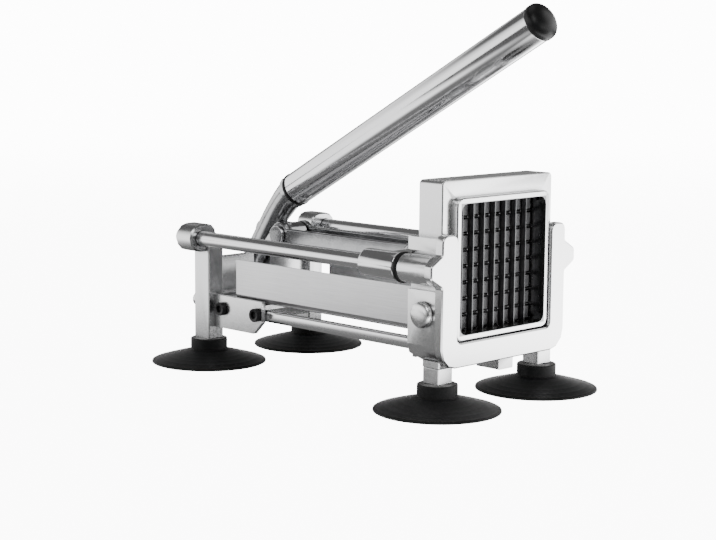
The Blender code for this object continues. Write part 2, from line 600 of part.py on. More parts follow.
def front_frame(carrier):
    casting = prism(front_plate_outline(), "Y", FRONT_Y, FRONT_PLATE_REAR_Y, FRONT_EDGE)
    walls = channel_outline(
        FRONT_WALL_TOP_Z, FRONT_HALF_X - FRONT_EDGE, CHANNEL_HALF_X, FRONT_BOTTOM_Z + FRONT_EDGE,
        CHANNEL_FLOOR_Z, FRONT_CORNER_ROUND, CHANNEL_ROUND,
    )
    channel = prism(walls, "Y", FRONT_PLATE_REAR_Y - FRONT_EDGE - FUSE, FRONT_WALL_REAR_Y)
    heel = [
        Vector((FRONT_WALL_REAR_Y - HEEL_LENGTH, FRONT_BOTTOM_Z - OVERRUN)),
        Vector((FRONT_WALL_REAR_Y + OVERRUN, FRONT_BOTTOM_Z - OVERRUN)),
        Vector((FRONT_WALL_REAR_Y + OVERRUN, FRONT_BOTTOM_Z + HEEL_HEIGHT)),
        Vector((FRONT_WALL_REAR_Y, FRONT_BOTTOM_Z + HEEL_HEIGHT)),
        Vector((FRONT_WALL_REAR_Y - HEEL_LENGTH, FRONT_BOTTOM_Z)),
    ]
    cut(channel, prism(heel, "X", -EAR_REACH, EAR_REACH))
    recess_x = FRONT_HALF_X - FRONT_EDGE - RECESS_DEPTH
    for _, sign in SIDES:
        low_x, high_x = sorted((sign * recess_x, sign * EAR_REACH))
        cut(channel, box(
            (low_x, FRONT_PLATE_REAR_Y, ROD_Z - RECESS_HEIGHT_BELOW),
            (high_x, FRONT_WALL_REAR_Y + OVERRUN, ROD_Z + RECESS_HEIGHT_ABOVE),
        ))
    fuse(casting, channel)
    keeper = channel_outline(
        FRONT_WALL_TOP_Z - FRONT_EDGE, CHANNEL_HALF_X + FRONT_EDGE, CHEEK_INNER_X + KEEPER_SIDE_GAP,
        KEEPER_BOTTOM_Z, TRAY_SEAT_Z, FRONT_EDGE, FRONT_EDGE,
    )
    fuse(casting, prism(keeper, "Y", KEEPER_FRONT_Y, FRONT_WALL_REAR_Y))
    lug_x = LUG_OFFSET_X - LUG_WIDTH / 2
    lug = rounded_box_outline(
        lug_x, lug_x + LUG_WIDTH, FRONT_BOTTOM_Z - LUG_DROP, CHANNEL_FLOOR_Z - FUSE, FRONT_EDGE,
    )
    fuse(casting, prism(lug, "Y", FRONT_Y + FRONT_EDGE, FRONT_Y + LUG_LENGTH))
    for _, sign in SIDES:
        x = sign * FOOT_HALF_X
        half = POST_WIDTH / 2 + PAD_MARGIN
        front, rear = -FOOT_HALF_Y - half, -FOOT_HALF_Y + half
        pad = rounded_box_outline(x - half, x + half, front, rear, POST_ROUND)
        fuse(casting, prism(pad, "Z", FRONT_BOTTOM_Z, CHANNEL_FLOOR_Z - FUSE))
        cut(casting, bar(
            "Z", (x, -FOOT_HALF_Y), STUD_BORE, FRONT_BOTTOM_Z - OVERRUN,
            FRONT_BOTTOM_Z + FRONT_STUD_HOLD, SMALL_STEPS,
        ))
        boss_front = FRONT_PLATE_REAR_Y - FUSE
        boss = bar("Y", (sign * ROD_HALF_X, ROD_Z), BOSS_RADIUS, boss_front, FRONT_WALL_REAR_Y)
        inner_x = CHANNEL_HALF_X + FUSE
        cut(boss, box(
            (-inner_x, boss_front - OVERRUN, ROD_Z - BOSS_RADIUS - OVERRUN),
            (inner_x, FRONT_WALL_REAR_Y + OVERRUN, ROD_Z + BOSS_RADIUS + OVERRUN),
        ))
        fuse(casting, boss)
        cut(casting, bar(
            "Y", (sign * ROD_HALF_X, ROD_Z), ROD_BORE,
            FRONT_Y + BOSS_WALL_BEHIND_ROD, FRONT_WALL_REAR_Y + OVERRUN,
        ))
    reach = FRONT_HALF_X + OVERRUN
    cut(casting, bar("X", (LOCK_Y, LOCK_Z), LOCK_SHANK_RADIUS + CLEARANCE, -reach, reach, SMALL_STEPS))
    return finish_piece(casting, "front_frame", "cast_aluminium", carrier)


def lock_screw(name, sign, carrier):
    under_head = FRONT_HALF_X - FRONT_EDGE + CLEARANCE
    head_top = under_head + LOCK_HEAD_HEIGHT
    corner = LOCK_HEAD_ROUND * HEAD_CORNER_SHARE
    profile = [
        (0, BLADE_FRAME_HALF_X + CLEARANCE),
        (LOCK_SHANK_RADIUS, BLADE_FRAME_HALF_X + CLEARANCE),
        (LOCK_SHANK_RADIUS, under_head),
        (LOCK_HEAD_RADIUS, under_head),
        (LOCK_HEAD_RADIUS, head_top - LOCK_HEAD_ROUND),
        (LOCK_HEAD_RADIUS - corner, head_top - corner),
        (LOCK_HEAD_RADIUS - LOCK_HEAD_ROUND, head_top),
        (0, head_top),
    ]
    screw = turned(profile, (0, LOCK_Y, LOCK_Z), (sign, 0, 0))
    return finish_piece(screw, name, "polished_steel", carrier)


def blade_frame(carrier):
    outline = rounded_box_outline(
        -BLADE_FRAME_HALF_X, BLADE_FRAME_HALF_X, BLADE_FRAME_BOTTOM_Z, BLADE_FRAME_TOP_Z, BLADE_FRAME_ROUND,
    )
    casting = prism(outline, "Y", BLADE_FRAME_FRONT_Y, BLADE_FRAME_REAR_Y, BLADE_FRAME_EDGE)
    outline = rounded_box_outline(
        -RIM_HALF_X, RIM_HALF_X, WINDOW_BOTTOM_Z - RIM_WALL, WINDOW_TOP_Z + RIM_WALL, RIM_ROUND,
    )
    rim_front_y = BLADE_FRAME_FRONT_Y - RIM_HEIGHT
    fuse(casting, prism(outline, "Y", rim_front_y, BLADE_FRAME_FRONT_Y + RIM_HEIGHT, RIM_EDGE))
    corner_y = KNIFE_FRONT_Y - CLEARANCE
    for corner_round, low_y, high_y in (
        (WINDOW_FRONT_ROUND, rim_front_y - OVERRUN, corner_y + FUSE),
        (WINDOW_ROUND, corner_y, BLADE_FRAME_REAR_Y + OVERRUN),
    ):
        outline = rounded_box_outline(-WINDOW / 2, WINDOW / 2, WINDOW_BOTTOM_Z, WINDOW_TOP_Z, corner_round)
        cut(casting, prism(outline, "Y", low_y, high_y))
    half = KNIFE_THICKNESS / 2 + CLEARANCE
    seat = WINDOW / 2 + KNIFE_SEAT + CLEARANCE
    for index in range(1, CELLS):
        place = (index - CELLS / 2) * PITCH
        cut(casting, box(
            (place - half, KNIFE_FRONT_Y - CLEARANCE, WINDOW_CENTRE_Z - seat),
            (place + half, KNIFE_FRONT_Y + KNIFE_DEPTH + CLEARANCE, WINDOW_CENTRE_Z + seat),
        ))
        cut(casting, box(
            (-seat, SECOND_KNIFE_Y - CLEARANCE, WINDOW_CENTRE_Z + place - half),
            (seat, SECOND_KNIFE_Y + KNIFE_DEPTH + CLEARANCE, WINDOW_CENTRE_Z + place + half),
        ))
    return finish_piece(casting, "blade_frame", "cast_aluminium", carrier)


# A knife's section: flat strip with its edge towards the potato
def knife_section(centre, front):
    half = KNIFE_THICKNESS / 2
    return [
        Vector((centre - half, front)),
        Vector((centre + half, front)),
        Vector((centre + half, front + KNIFE_DEPTH - KNIFE_EDGE)),
        Vector((centre, front + KNIFE_DEPTH)),
        Vector((centre - half, front + KNIFE_DEPTH - KNIFE_EDGE)),
    ]


def knives(carrier):
    reach = WINDOW / 2 + KNIFE_SEAT
    for index in range(1, CELLS):
        place = (index - CELLS / 2) * PITCH
        upright = prism(
            knife_section(place, KNIFE_FRONT_Y), "Z", WINDOW_CENTRE_Z - reach, WINDOW_CENTRE_Z + reach,
        )
        finish_piece(upright, "knife_upright_" + str(index), "knife_steel", carrier)
        section = [Vector((y, z)) for z, y in knife_section(WINDOW_CENTRE_Z + place, SECOND_KNIFE_Y)]
        level = prism(section, "X", -reach, reach)
        finish_piece(level, "knife_level_" + str(index), "knife_steel", carrier)


# Base plate whose face carries one tapered peg for each cell of the knives
def pusher_block(carrier):
    half = WINDOW / 2 - PEG_CLEAR_OF_WINDOW
    marks = [-half]
    for index in range(CELLS):
        middle = (index + 1 / 2 - CELLS / 2) * PITCH
        peg = (PITCH - PEG_GAP) / 2
        marks += [middle - peg, middle + peg]
    marks.append(half)
    build = bmesh.new()
    grid = [[build.verts.new((x, PUSHER_BASE_Y, WINDOW_CENTRE_Z + z)) for x in marks] for z in marks]
    pegs = []
    last = len(marks) - 1
    for row in range(last):
        for column in range(last):
            lower, upper = grid[row], grid[row + 1]
            face = build.faces.new((lower[column], lower[column + 1], upper[column + 1], upper[column]))
            if row % 2 and column % 2:
                pegs.append(face)
    rim = grid[0][:-1] + [row[-1] for row in grid[:-1]]
    rim += grid[-1][:0:-1] + [row[0] for row in grid[:0:-1]]
    back = [build.verts.new((item.co.x, PUSHER_REAR_Y, item.co.z)) for item in rim]
    for index in range(len(rim)):
        follow = (index + 1) % len(rim)
        build.faces.new((rim[index], back[index], back[follow], rim[follow]))
    build.faces.new(back)
    tops = bmesh.ops.extrude_discrete_faces(build, faces=pegs)["faces"]
    reach = PEG_FACE_Y - PUSHER_BASE_Y
    for top in tops:
        middle = top.calc_center_median()
        for item in top.verts:
            inward = Vector((middle.x - item.co.x, 0, middle.z - item.co.z))
            item.co += inward * (2 * PEG_TAPER / (PITCH - PEG_GAP))
            item.co.y += reach
    block = shape_object(build)
    for _, sign in SIDES:
        centre = (sign * PUSHER_SCREW_HALF_X, ROD_Z - PUSHER_SCREW_DROP)
        low = PUSHER_REAR_Y - PUSHER_SCREW_HOLD - CLEARANCE
        bore = PUSHER_SCREW_RADIUS + CLEARANCE
        cut(block, bar("Y", centre, bore, low, PUSHER_REAR_Y + OVERRUN, SMALL_STEPS))
    return finish_piece(block, "pusher_block", "black_plastic", carrier)


# Tongue behind the beam with a notch, open at the top, that the link's front pin rests in
def hook_shape():
    pin_room = HOOK_PIN_RADIUS + RUNNING_GAP
    top = LINK_Z + HOOK_RISE
    low = ROD_Z - BEAM_HEIGHT / 2 + BEAM_ROUND
    rear = HOOK_PIN_Y + pin_room + HOOK_FLARE + HOOK_SIDE
    front = BEAM_REAR_Y - BEAM_ROUND - FUSE
    outline = rounded([(front, low, 0), (rear, low, HOOK_SIDE), (rear, top, HOOK_ROUND)])
    outline.append(Vector((HOOK_PIN_Y + pin_room + HOOK_FLARE, top)))
    for step in range(ARC_STEPS * 2 + 1):
        angle = -math.pi * step / (ARC_STEPS * 2)
        spoke = Vector((math.cos(angle), math.sin(angle)))
        outline.append(Vector((HOOK_PIN_Y, LINK_Z)) + pin_room * spoke)
    outline.append(Vector((HOOK_PIN_Y - pin_room - HOOK_FLARE, top)))
    outline.append(Vector((front, top)))
    return prism(outline, "X", -HOOK_HALF_WIDTH, HOOK_HALF_WIDTH)


def carriage_yoke(carrier):
    backing = rounded_box_outline(
        -BACKING_HALF_WIDTH, BACKING_HALF_WIDTH, BACKING_BOTTOM_Z, BACKING_TOP_Z, BACKING_ROUND,
    )
    yoke = prism(backing, "Y", BACKING_FRONT_Y, BACKING_REAR_Y)
    low_z, high_z = ROD_Z - BEAM_HEIGHT / 2, ROD_Z + BEAM_HEIGHT / 2
    beam_section = rounded_box_outline(BEAM_FRONT_Y, BEAM_REAR_Y, low_z, high_z, BEAM_ROUND)
    reach = ROD_HALF_X - SLEEVE_RADIUS + OVERRUN
    fuse(yoke, prism(beam_section, "X", -reach, reach), hook_shape())
    for _, sign in SIDES:
        x = sign * STRUT_HALF_X
        fuse(yoke, box(
            (x - STRUT_WIDTH / 2, BACKING_REAR_Y - FUSE, low_z + BEAM_ROUND),
            (x + STRUT_WIDTH / 2, BEAM_FRONT_Y + BEAM_DEPTH / 2, high_z - BEAM_ROUND),
        ))
        cut(yoke, bar(
            "Y", (sign * ROD_HALF_X, ROD_Z), SLEEVE_RADIUS + CLEARANCE,
            SLEEVE_FRONT_Y - OVERRUN, SLEEVE_REAR_Y + OVERRUN,
        ))
        centre = (sign * PUSHER_SCREW_HALF_X, ROD_Z - PUSHER_SCREW_DROP)
        cut(yoke, bar(
            "Y", centre, PUSHER_SCREW_RADIUS + CLEARANCE,
            BACKING_FRONT_Y - OVERRUN, BACKING_REAR_Y + OVERRUN, SMALL_STEPS,
        ))
    return finish_piece(yoke, "carriage_yoke", "cast_aluminium", carrier)


def rod_furniture(fixed, carriage):
    for side, sign in SIDES:
        x = sign * ROD_HALF_X
        front = FRONT_Y + BOSS_WALL_BEHIND_ROD + CLEARANCE
        rod = bar("Y", (x, ROD_Z), ROD_RADIUS, front, REAR_EAR_REAR_Y - CLEARANCE)
        low = REAR_EAR_REAR_Y - ROD_BOLT_DEPTH - CLEARANCE
        bore = ROD_BOLT_RADIUS + CLEARANCE
        cut(rod, bar("Y", (x, ROD_Z), bore, low, REAR_EAR_REAR_Y + OVERRUN, SMALL_STEPS))
        finish_piece(rod, "side_rod_" + side, "polished_steel", fixed)
        head_foot = REAR_EAR_REAR_Y + CLEARANCE
        head_top = head_foot + ROD_BOLT_HEAD_HEIGHT
        profile = [
            (0, REAR_EAR_REAR_Y - ROD_BOLT_DEPTH),
            (ROD_BOLT_RADIUS, REAR_EAR_REAR_Y - ROD_BOLT_DEPTH),
            (ROD_BOLT_RADIUS, head_foot),
            (ROD_BOLT_HEAD_RADIUS, head_foot),
            (ROD_BOLT_HEAD_RADIUS, head_top - ROD_BOLT_HEAD_HEIGHT * HEAD_CORNER_SHARE),
            (ROD_BOLT_HEAD_RADIUS - ROD_BOLT_HEAD_HEIGHT / 2, head_top),
            (0, head_top),
        ]
        bolt = turned(profile, (x, 0, ROD_Z), (0, 1, 0), SMALL_STEPS)
        finish_piece(bolt, "rod_bolt_" + side, "polished_steel", fixed)
        profile = [
            (ROD_BORE, RING_FRONT_Y), (RING_RADIUS, RING_FRONT_Y),
            (RING_RADIUS, RING_REAR_Y), (ROD_BORE, RING_REAR_Y),
        ]
        ring = turned(profile, (x, 0, ROD_Z), (0, 1, 0))
        finish_piece(ring, "stop_ring_" + side, "black_rubber", fixed)
        profile = [
            (ROD_BORE, SLEEVE_FRONT_Y), (SLEEVE_RADIUS - FRONT_EDGE, SLEEVE_FRONT_Y),
            (SLEEVE_RADIUS, SLEEVE_FRONT_Y + FRONT_EDGE), (SLEEVE_RADIUS, SLEEVE_REAR_Y - FRONT_EDGE),
            (SLEEVE_RADIUS - FRONT_EDGE, SLEEVE_REAR_Y), (ROD_BORE, SLEEVE_REAR_Y),
        ]
        sleeve = turned(profile, (x, 0, ROD_Z), (0, 1, 0))
        finish_piece(sleeve, "sleeve_" + side, "polished_steel", carriage)


def pusher_screws(carriage):
    for side, sign in SIDES:
        head_foot = BACKING_REAR_Y + CLEARANCE
        head_top = head_foot + PUSHER_SCREW_HEAD_HEIGHT
        tip = PUSHER_REAR_Y - PUSHER_SCREW_HOLD
        profile = [
            (0, tip), (PUSHER_SCREW_RADIUS, tip), (PUSHER_SCREW_RADIUS, head_foot),
            (PUSHER_SCREW_HEAD_RADIUS, head_foot),
            (PUSHER_SCREW_HEAD_RADIUS, head_top - PUSHER_SCREW_HEAD_HEIGHT / 2),
            (PUSHER_SCREW_HEAD_RADIUS / 2, head_top), (0, head_top),
        ]
        place = (sign * PUSHER_SCREW_HALF_X, 0, ROD_Z - PUSHER_SCREW_DROP)
        screw = turned(profile, place, (0, 1, 0), SMALL_STEPS)
        finish_piece(screw, "pusher_screw_" + side, "polished_steel", carriage)


def tray(carrier):
    outer = TRAY_HALF_WIDTH
    inner = outer - TRAY_SHEET
    floor = TRAY_FLOOR_Z + TRAY_SHEET
    half = [
        (inner, floor, TRAY_BEND - TRAY_SHEET),
        (inner, TRAY_TOP_Z, 0),
        (outer, TRAY_TOP_Z, 0),
        (outer, TRAY_FLOOR_Z, TRAY_BEND),
    ]
    other = [(-x, z, radius) for x, z, radius in reversed(half)]
    trough = prism(rounded(half + other), "Y", KEEPER_FRONT_Y, TRAY_REAR_Y)
    screw_y = TRAY_REAR_Y - TRAY_SCREW_INSET
    for side, sign in SIDES:
        place = (sign * TRAY_SCREW_HALF_X, screw_y, 0)
        slope = (TRAY_SCREW_HEAD_RADIUS - TRAY_SCREW_RADIUS) / TRAY_SHEET
        wide = TRAY_SCREW_HEAD_RADIUS + CLEARANCE + slope * OVERRUN
        narrow = TRAY_SCREW_RADIUS + CLEARANCE
        cut(trough, turned([
            (0, TRAY_FLOOR_Z - OVERRUN), (narrow, TRAY_FLOOR_Z - OVERRUN), (narrow, TRAY_FLOOR_Z),
            (wide, floor + OVERRUN), (0, floor + OVERRUN),
        ], place, (0, 0, 1), SMALL_STEPS))
        profile = [
            (0, TRAY_SEAT_Z - TRAY_SCREW_LENGTH), (TRAY_SCREW_RADIUS, TRAY_SEAT_Z - TRAY_SCREW_LENGTH),
            (TRAY_SCREW_RADIUS, TRAY_FLOOR_Z), (TRAY_SCREW_HEAD_RADIUS, floor), (0, floor),
        ]
        screw = turned(profile, place, (0, 0, 1), SMALL_STEPS)
        finish_piece(screw, "tray_screw_" + side, "polished_steel", carrier)
    return finish_piece(trough, "tray", "brushed_steel", carrier)


def rear_bracket(carrier):
    crossbar = rounded_box_outline(-FOOT_HALF_X, FOOT_HALF_X, CROSSBAR_BOTTOM_Z, CROSSBAR_TOP_Z, 0)
    casting = prism(crossbar, "Y", LEG_FRONT_Y + FUSE, CROSSBAR_REAR_Y)
    web = rounded_box_outline(-FOOT_HALF_X, FOOT_HALF_X, CROSSBAR_BOTTOM_Z + FUSE, WEB_TOP_Z, 0)
    fuse(casting, prism(web, "Y", CROSSBAR_REAR_Y - FUSE, WEB_REAR_Y))
    slot_floor = PIVOT_Z - PIVOT_BOSS_RADIUS - RUNNING_GAP
    cut(casting, box(
        (-PIVOT_SLOT_HALF_X, CROSSBAR_REAR_Y - FUSE - OVERRUN, slot_floor),
        (PIVOT_SLOT_HALF_X, WEB_REAR_Y + OVERRUN, WEB_TOP_Z + OVERRUN),
    ))
    fuse(casting, box(
        (-CHEEK_INNER_X - FUSE, CHEEK_FRONT_Y, TRAY_SEAT_Z - SHELF_THICKNESS),
        (CHEEK_INNER_X + FUSE, LEG_FRONT_Y + 2 * FUSE, TRAY_SEAT_Z),
    ))
    for _, sign in SIDES:
        x = sign * FOOT_HALF_X
        half_x = LEG_WIDTH / 2
        leg = rounded_box_outline(x - half_x, x + half_x, LEG_FRONT_Y, LEG_REAR_Y, LEG_ROUND)
        fuse(casting, prism(leg, "Z", LEG_FOOT_Z, ROD_Z))
        low_x, high_x = sorted((sign * PIVOT_SLOT_HALF_X, sign * PIVOT_LUG_OUTER_X))
        heel_y = WEB_REAR_Y - WEB_THICKNESS / 2
        pivot = (PIVOT_Y, PIVOT_Z)
        lug = circle_hull(pivot, PIVOT_LUG_RADIUS, heel_y, PIVOT_LUG_FOOT_Z, WEB_TOP_Z - FUSE)
        fuse(casting, prism(lug, "X", low_x, high_x))
        low_x, high_x = sorted((sign * CHEEK_INNER_X, sign * CHEEK_OUTER_X))
        cheek = [
            Vector((CHEEK_FRONT_Y - FUSE, CROSSBAR_TOP_Z)),
            Vector((CHEEK_FRONT_Y - FUSE, CHEEK_BOTTOM_Z + CHEEK_CHAMFER)),
            Vector((CHEEK_FRONT_Y - FUSE + CHEEK_CHAMFER, CHEEK_BOTTOM_Z)),
            Vector((LEG_FRONT_Y + LEG_ROUND, CHEEK_BOTTOM_Z)),
            Vector((LEG_FRONT_Y + LEG_ROUND, CROSSBAR_TOP_Z)),
        ]
        fuse(casting, prism(cheek, "X", low_x, high_x))
        outer_x = ROD_HALF_X + REAR_EAR_RADIUS
        outer_round = REAR_EAR_RADIUS * EAR_ROUND_SHARE
        ear_corners = [
            (sign * REAR_EAR_INNER_X, ROD_Z - REAR_EAR_RADIUS, REAR_EAR_INNER_ROUND),
            (sign * outer_x, ROD_Z - REAR_EAR_RADIUS, outer_round),
            (sign * outer_x, ROD_Z + REAR_EAR_RADIUS, outer_round),
            (sign * REAR_EAR_INNER_X, ROD_Z + REAR_EAR_RADIUS, REAR_EAR_INNER_ROUND),
        ]
        ear = prism(rounded(ear_corners), "Y", REAR_EAR_FRONT_Y, REAR_EAR_REAR_Y, REAR_EAR_EDGE)
        fuse(casting, ear)
        cut(casting, bar(
            "Y", (sign * ROD_HALF_X, ROD_Z), ROD_BORE, LEG_FRONT_Y - OVERRUN, REAR_EAR_REAR_Y + OVERRUN,
        ))
        cut(casting, bar(
            "Z", (x, FOOT_HALF_Y), STUD_BORE, LEG_FOOT_Z - OVERRUN, LEG_FOOT_Z + STUD_HOLD, SMALL_STEPS,
        ))
        cut(casting, bar(
            "Y", (x, LEG_BOLT_Z), LEG_BOLT_RADIUS + CLEARANCE,
            LEG_REAR_Y - LEG_BOLT_HOLD - CLEARANCE, LEG_REAR_Y + OVERRUN, SMALL_STEPS,
        ))
        low_x, high_x = sorted((sign * (CHEEK_INNER_X - OVERRUN), sign * (CHEEK_OUTER_X + OVERRUN)))
        for screw_y in RAIL_SCREW_Y:
            centre = (screw_y, RAIL_SCREW_Z)
            cut(casting, bar("X", centre, RAIL_SCREW_RADIUS + CLEARANCE, low_x, high_x, SMALL_STEPS))
        cut(casting, bar(
            "Z", (sign * TRAY_SCREW_HALF_X, TRAY_REAR_Y - TRAY_SCREW_INSET), TRAY_SCREW_RADIUS + CLEARANCE,
            TRAY_SEAT_Z - SHELF_THICKNESS - OVERRUN, TRAY_SEAT_Z + OVERRUN, SMALL_STEPS,
        ))
    reach = PIVOT_LUG_OUTER_X + OVERRUN
    cut(casting, bar("X", (PIVOT_Y, PIVOT_Z), PIVOT_RADIUS + CLEARANCE, -reach, reach))
    return finish_piece(casting, "rear_bracket", "cast_aluminium", carrier)


# Outline of a circle joined to an upright line at one side, in the YZ plane
def circle_hull(centre, radius, line_y, low_z, high_z):
    middle = Vector(centre)
    outline = [Vector((line_y, high_z)), Vector((line_y, low_z))]
    tangents = []
    for corner in outline:
        span = corner - middle
        spread = math.acos(radius / span.length)
        tangents.append((math.atan2(span.y, span.x), spread))
    start = tangents[1][0] + tangents[1][1]
    finish = tangents[0][0] - tangents[0][1]
    turn = (finish - start) % (2 * math.pi)
    steps = ARC_STEPS * 3
    for step in range(steps + 1):
        angle = start + turn * step / steps
        outline.append(middle + radius * Vector((math.cos(angle), math.sin(angle))))
    return outline


def leg_bolts(carrier):
    for side, sign in SIDES:
        head_foot = LEG_REAR_Y + CLEARANCE
        head_top = head_foot + LEG_BOLT_HEAD_HEIGHT
        tip = LEG_REAR_Y - LEG_BOLT_HOLD
        profile = [
            (0, tip), (LEG_BOLT_RADIUS, tip), (LEG_BOLT_RADIUS, head_foot),
            (LEG_BOLT_HEAD_RADIUS, head_foot), (LEG_BOLT_HEAD_RADIUS, head_top - FRONT_EDGE),
            (LEG_BOLT_HEAD_RADIUS - FRONT_EDGE, head_top), (0, head_top),
        ]
        bolt = turned(profile, (sign * FOOT_HALF_X, 0, LEG_BOLT_Z), (0, 1, 0), SMALL_STEPS)
        finish_piece(bolt, "leg_bolt_" + side, "polished_steel", carrier)


def base_rails(carrier):
    for side, sign in SIDES:
        low_x, high_x = sorted((sign * RAIL_INNER_X, sign * RAIL_OUTER_X))
        rail = box(
            (low_x, FRONT_WALL_REAR_Y + CLEARANCE, RAIL_BOTTOM_Z),
            (high_x, LEG_FRONT_Y - CLEARANCE, RAIL_BOTTOM_Z + RAIL_HEIGHT),
        )
        for number, screw_y in enumerate(RAIL_SCREW_Y, start=1):
            inner = RAIL_OUTER_X - RAIL_SCREW_HOLD
            low_x, high_x = sorted((sign * (inner - CLEARANCE), sign * (RAIL_OUTER_X + OVERRUN)))
            cut(rail, bar(
                "X", (screw_y, RAIL_SCREW_Z), RAIL_SCREW_RADIUS + CLEARANCE, low_x, high_x, SMALL_STEPS,
            ))
            under_head = CHEEK_OUTER_X + CLEARANCE
            top = under_head + RAIL_SCREW_HEAD_HEIGHT
            profile = [
                (0, inner), (RAIL_SCREW_RADIUS, inner), (RAIL_SCREW_RADIUS, under_head),
                (RAIL_SCREW_HEAD_RADIUS, under_head), (RAIL_SCREW_HEAD_RADIUS, top),
                (RAIL_SCREW_SOCKET_RADIUS, top), (RAIL_SCREW_SOCKET_RADIUS, top - RAIL_SCREW_SOCKET_DEPTH),
                (0, top - RAIL_SCREW_SOCKET_DEPTH),
            ]
            screw = turned(profile, (0, screw_y, RAIL_SCREW_Z), (sign, 0, 0), SMALL_STEPS)
            finish_piece(screw, "rail_screw_" + side + "_" + str(number), "black_oxide", carrier)
        finish_piece(rail, "base_rail_" + side, "brushed_steel", carrier)


def links(carrier):
    for side, sign in SIDES:
        low_x, high_x = sorted((sign * LINK_INNER_X, sign * LINK_OUTER_X))
        middle = LINK_BAR_HEIGHT / 2
        rod = rounded_box_outline(HOOK_PIN_Y, LINK_PIN_Y, LINK_Z - middle, LINK_Z + middle, 0)
        link = prism(rod, "X", low_x, high_x, LINK_EDGE)
        eye_rear = bar("X", (LINK_PIN_Y, LINK_Z), LINK_REAR_EYE_RADIUS, low_x, high_x, edge=LINK_EDGE)
        eye_front = bar("X", (HOOK_PIN_Y, LINK_Z), LINK_FRONT_EYE_RADIUS, low_x, high_x, edge=LINK_EDGE)
        fuse(link, eye_rear, eye_front)
        for pin_y, radius in ((LINK_PIN_Y, LINK_PIN_RADIUS), (HOOK_PIN_Y, HOOK_PIN_RADIUS)):
            cut(link, bar("X", (pin_y, LINK_Z), radius + CLEARANCE, low_x - OVERRUN, high_x + OVERRUN))
        finish_piece(link, "link_bar_" + side, "polished_steel", carrier)


# A pin across the machine with a flat head at each end
def cross_pin(name, y, z, radius, head_radius, head_height, finish, carrier, steps):
    inner = LINK_OUTER_X + CLEARANCE
    outer = inner + head_height
    profile = [
        (0, -outer), (head_radius, -outer), (head_radius, -inner), (radius, -inner),
        (radius, inner), (head_radius, inner), (head_radius, outer), (0, outer),
    ]
    return finish_piece(turned(profile, (0, y, z), (1, 0, 0), steps), name, finish, carrier)


def curve_point(points, share):
    first, second, third, fourth = points
    left = 1 - share
    return (
        first * left ** 3 + second * 3 * left ** 2 * share
        + third * 3 * left * share ** 2 + fourth * share ** 3
    )


# Half the arm's width or thickness at a share of its way from the knee to the pivot
def arm_half(at_knee, at_foot, share):
    return at_knee + (at_foot - at_knee) * min(share / ARM_TAPER_SHARE, 1)


# The arm is a round bar bent down from the handle to the pivot, with a lug for the link pin
def lever_arm(carrier):
    knee = HANDLE_FOOT - HANDLE_DIRECTION * (ARM_FLANGE_THICKNESS / 2)
    foot_heading = Vector((0, math.cos(ARM_FOOT_LEAN), -math.sin(ARM_FOOT_LEAN)))
    points = [
        knee, knee - HANDLE_DIRECTION * ARM_KNEE_REACH, PIVOT - foot_heading * ARM_FOOT_REACH, PIVOT,
    ]
    build = bmesh.new()
    rings = []
    for step in range(BEND_STEPS + 1):
        share = step / BEND_STEPS
        near = curve_point(points, max(share - LOOK_SHARE, 0))
        far = curve_point(points, min(share + LOOK_SHARE, 1))
        heading = (far - near).normalized()
        across = Vector((0, -heading.z, heading.y))
        centre = curve_point(points, share)
        half_width = arm_half(ARM_KNEE_HALF_WIDTH, ARM_HALF_WIDTH - FRONT_EDGE, share)
        half_thickness = arm_half(ARM_KNEE_HALF_THICKNESS, ARM_HALF_THICKNESS, share)
        ring = []
        for index in range(SMALL_STEPS):
            angle = 2 * math.pi * index / SMALL_STEPS
            offset = across * math.sin(angle) * half_thickness
            offset.x = math.cos(angle) * half_width
            ring.append(build.verts.new(centre + offset))
        rings.append(ring)
    for lower, upper in zip(rings, rings[1:]):
        for index in range(SMALL_STEPS):
            follow = (index + 1) % SMALL_STEPS
            build.faces.new((lower[index], lower[follow], upper[follow], upper[index]))
    build.faces.new(rings[0])
    build.faces.new(rings[-1])
    arm = shape_object(build)
    flange_end = -ARM_FLANGE_THICKNESS - FRONT_EDGE
    fuse(arm, turned([
        (0, flange_end), (HANDLE_RADIUS - FRONT_EDGE, flange_end),
        (HANDLE_RADIUS, flange_end + FRONT_EDGE), (HANDLE_RADIUS, -CLEARANCE),
        (SPIGOT_RADIUS, -CLEARANCE), (SPIGOT_RADIUS, ARM_SPIGOT_LENGTH), (0, ARM_SPIGOT_LENGTH),
    ], HANDLE_FOOT, HANDLE_DIRECTION))
    pivot, link_pin = (PIVOT_Y, PIVOT_Z), (LINK_PIN_Y, LINK_Z)
    fuse(arm, bar("X", pivot, PIVOT_BOSS_RADIUS, -ARM_HALF_WIDTH, ARM_HALF_WIDTH, edge=FRONT_EDGE))
    middle = curve_point(points, ARM_WEB_SHARE)
    web = two_eye_outline(
        link_pin, LINK_PIN_BOSS_RADIUS - FRONT_EDGE, (middle.y, middle.z), ARM_HALF_THICKNESS - FRONT_EDGE,
    )
    fuse(arm, prism(web, "X", -ARM_WEB_HALF_WIDTH, ARM_WEB_HALF_WIDTH))
    fuse(arm, bar("X", link_pin, LINK_PIN_BOSS_RADIUS, -ARM_HALF_WIDTH, ARM_HALF_WIDTH, edge=FRONT_EDGE))
    reach = ARM_HALF_WIDTH + OVERRUN
    cut(arm, bar("X", pivot, PIVOT_RADIUS + CLEARANCE, -reach, reach))
    cut(arm, bar("X", link_pin, LINK_PIN_RADIUS + CLEARANCE, -reach, reach))
    return finish_piece(arm, "lever_arm", "cast_aluminium", carrier)


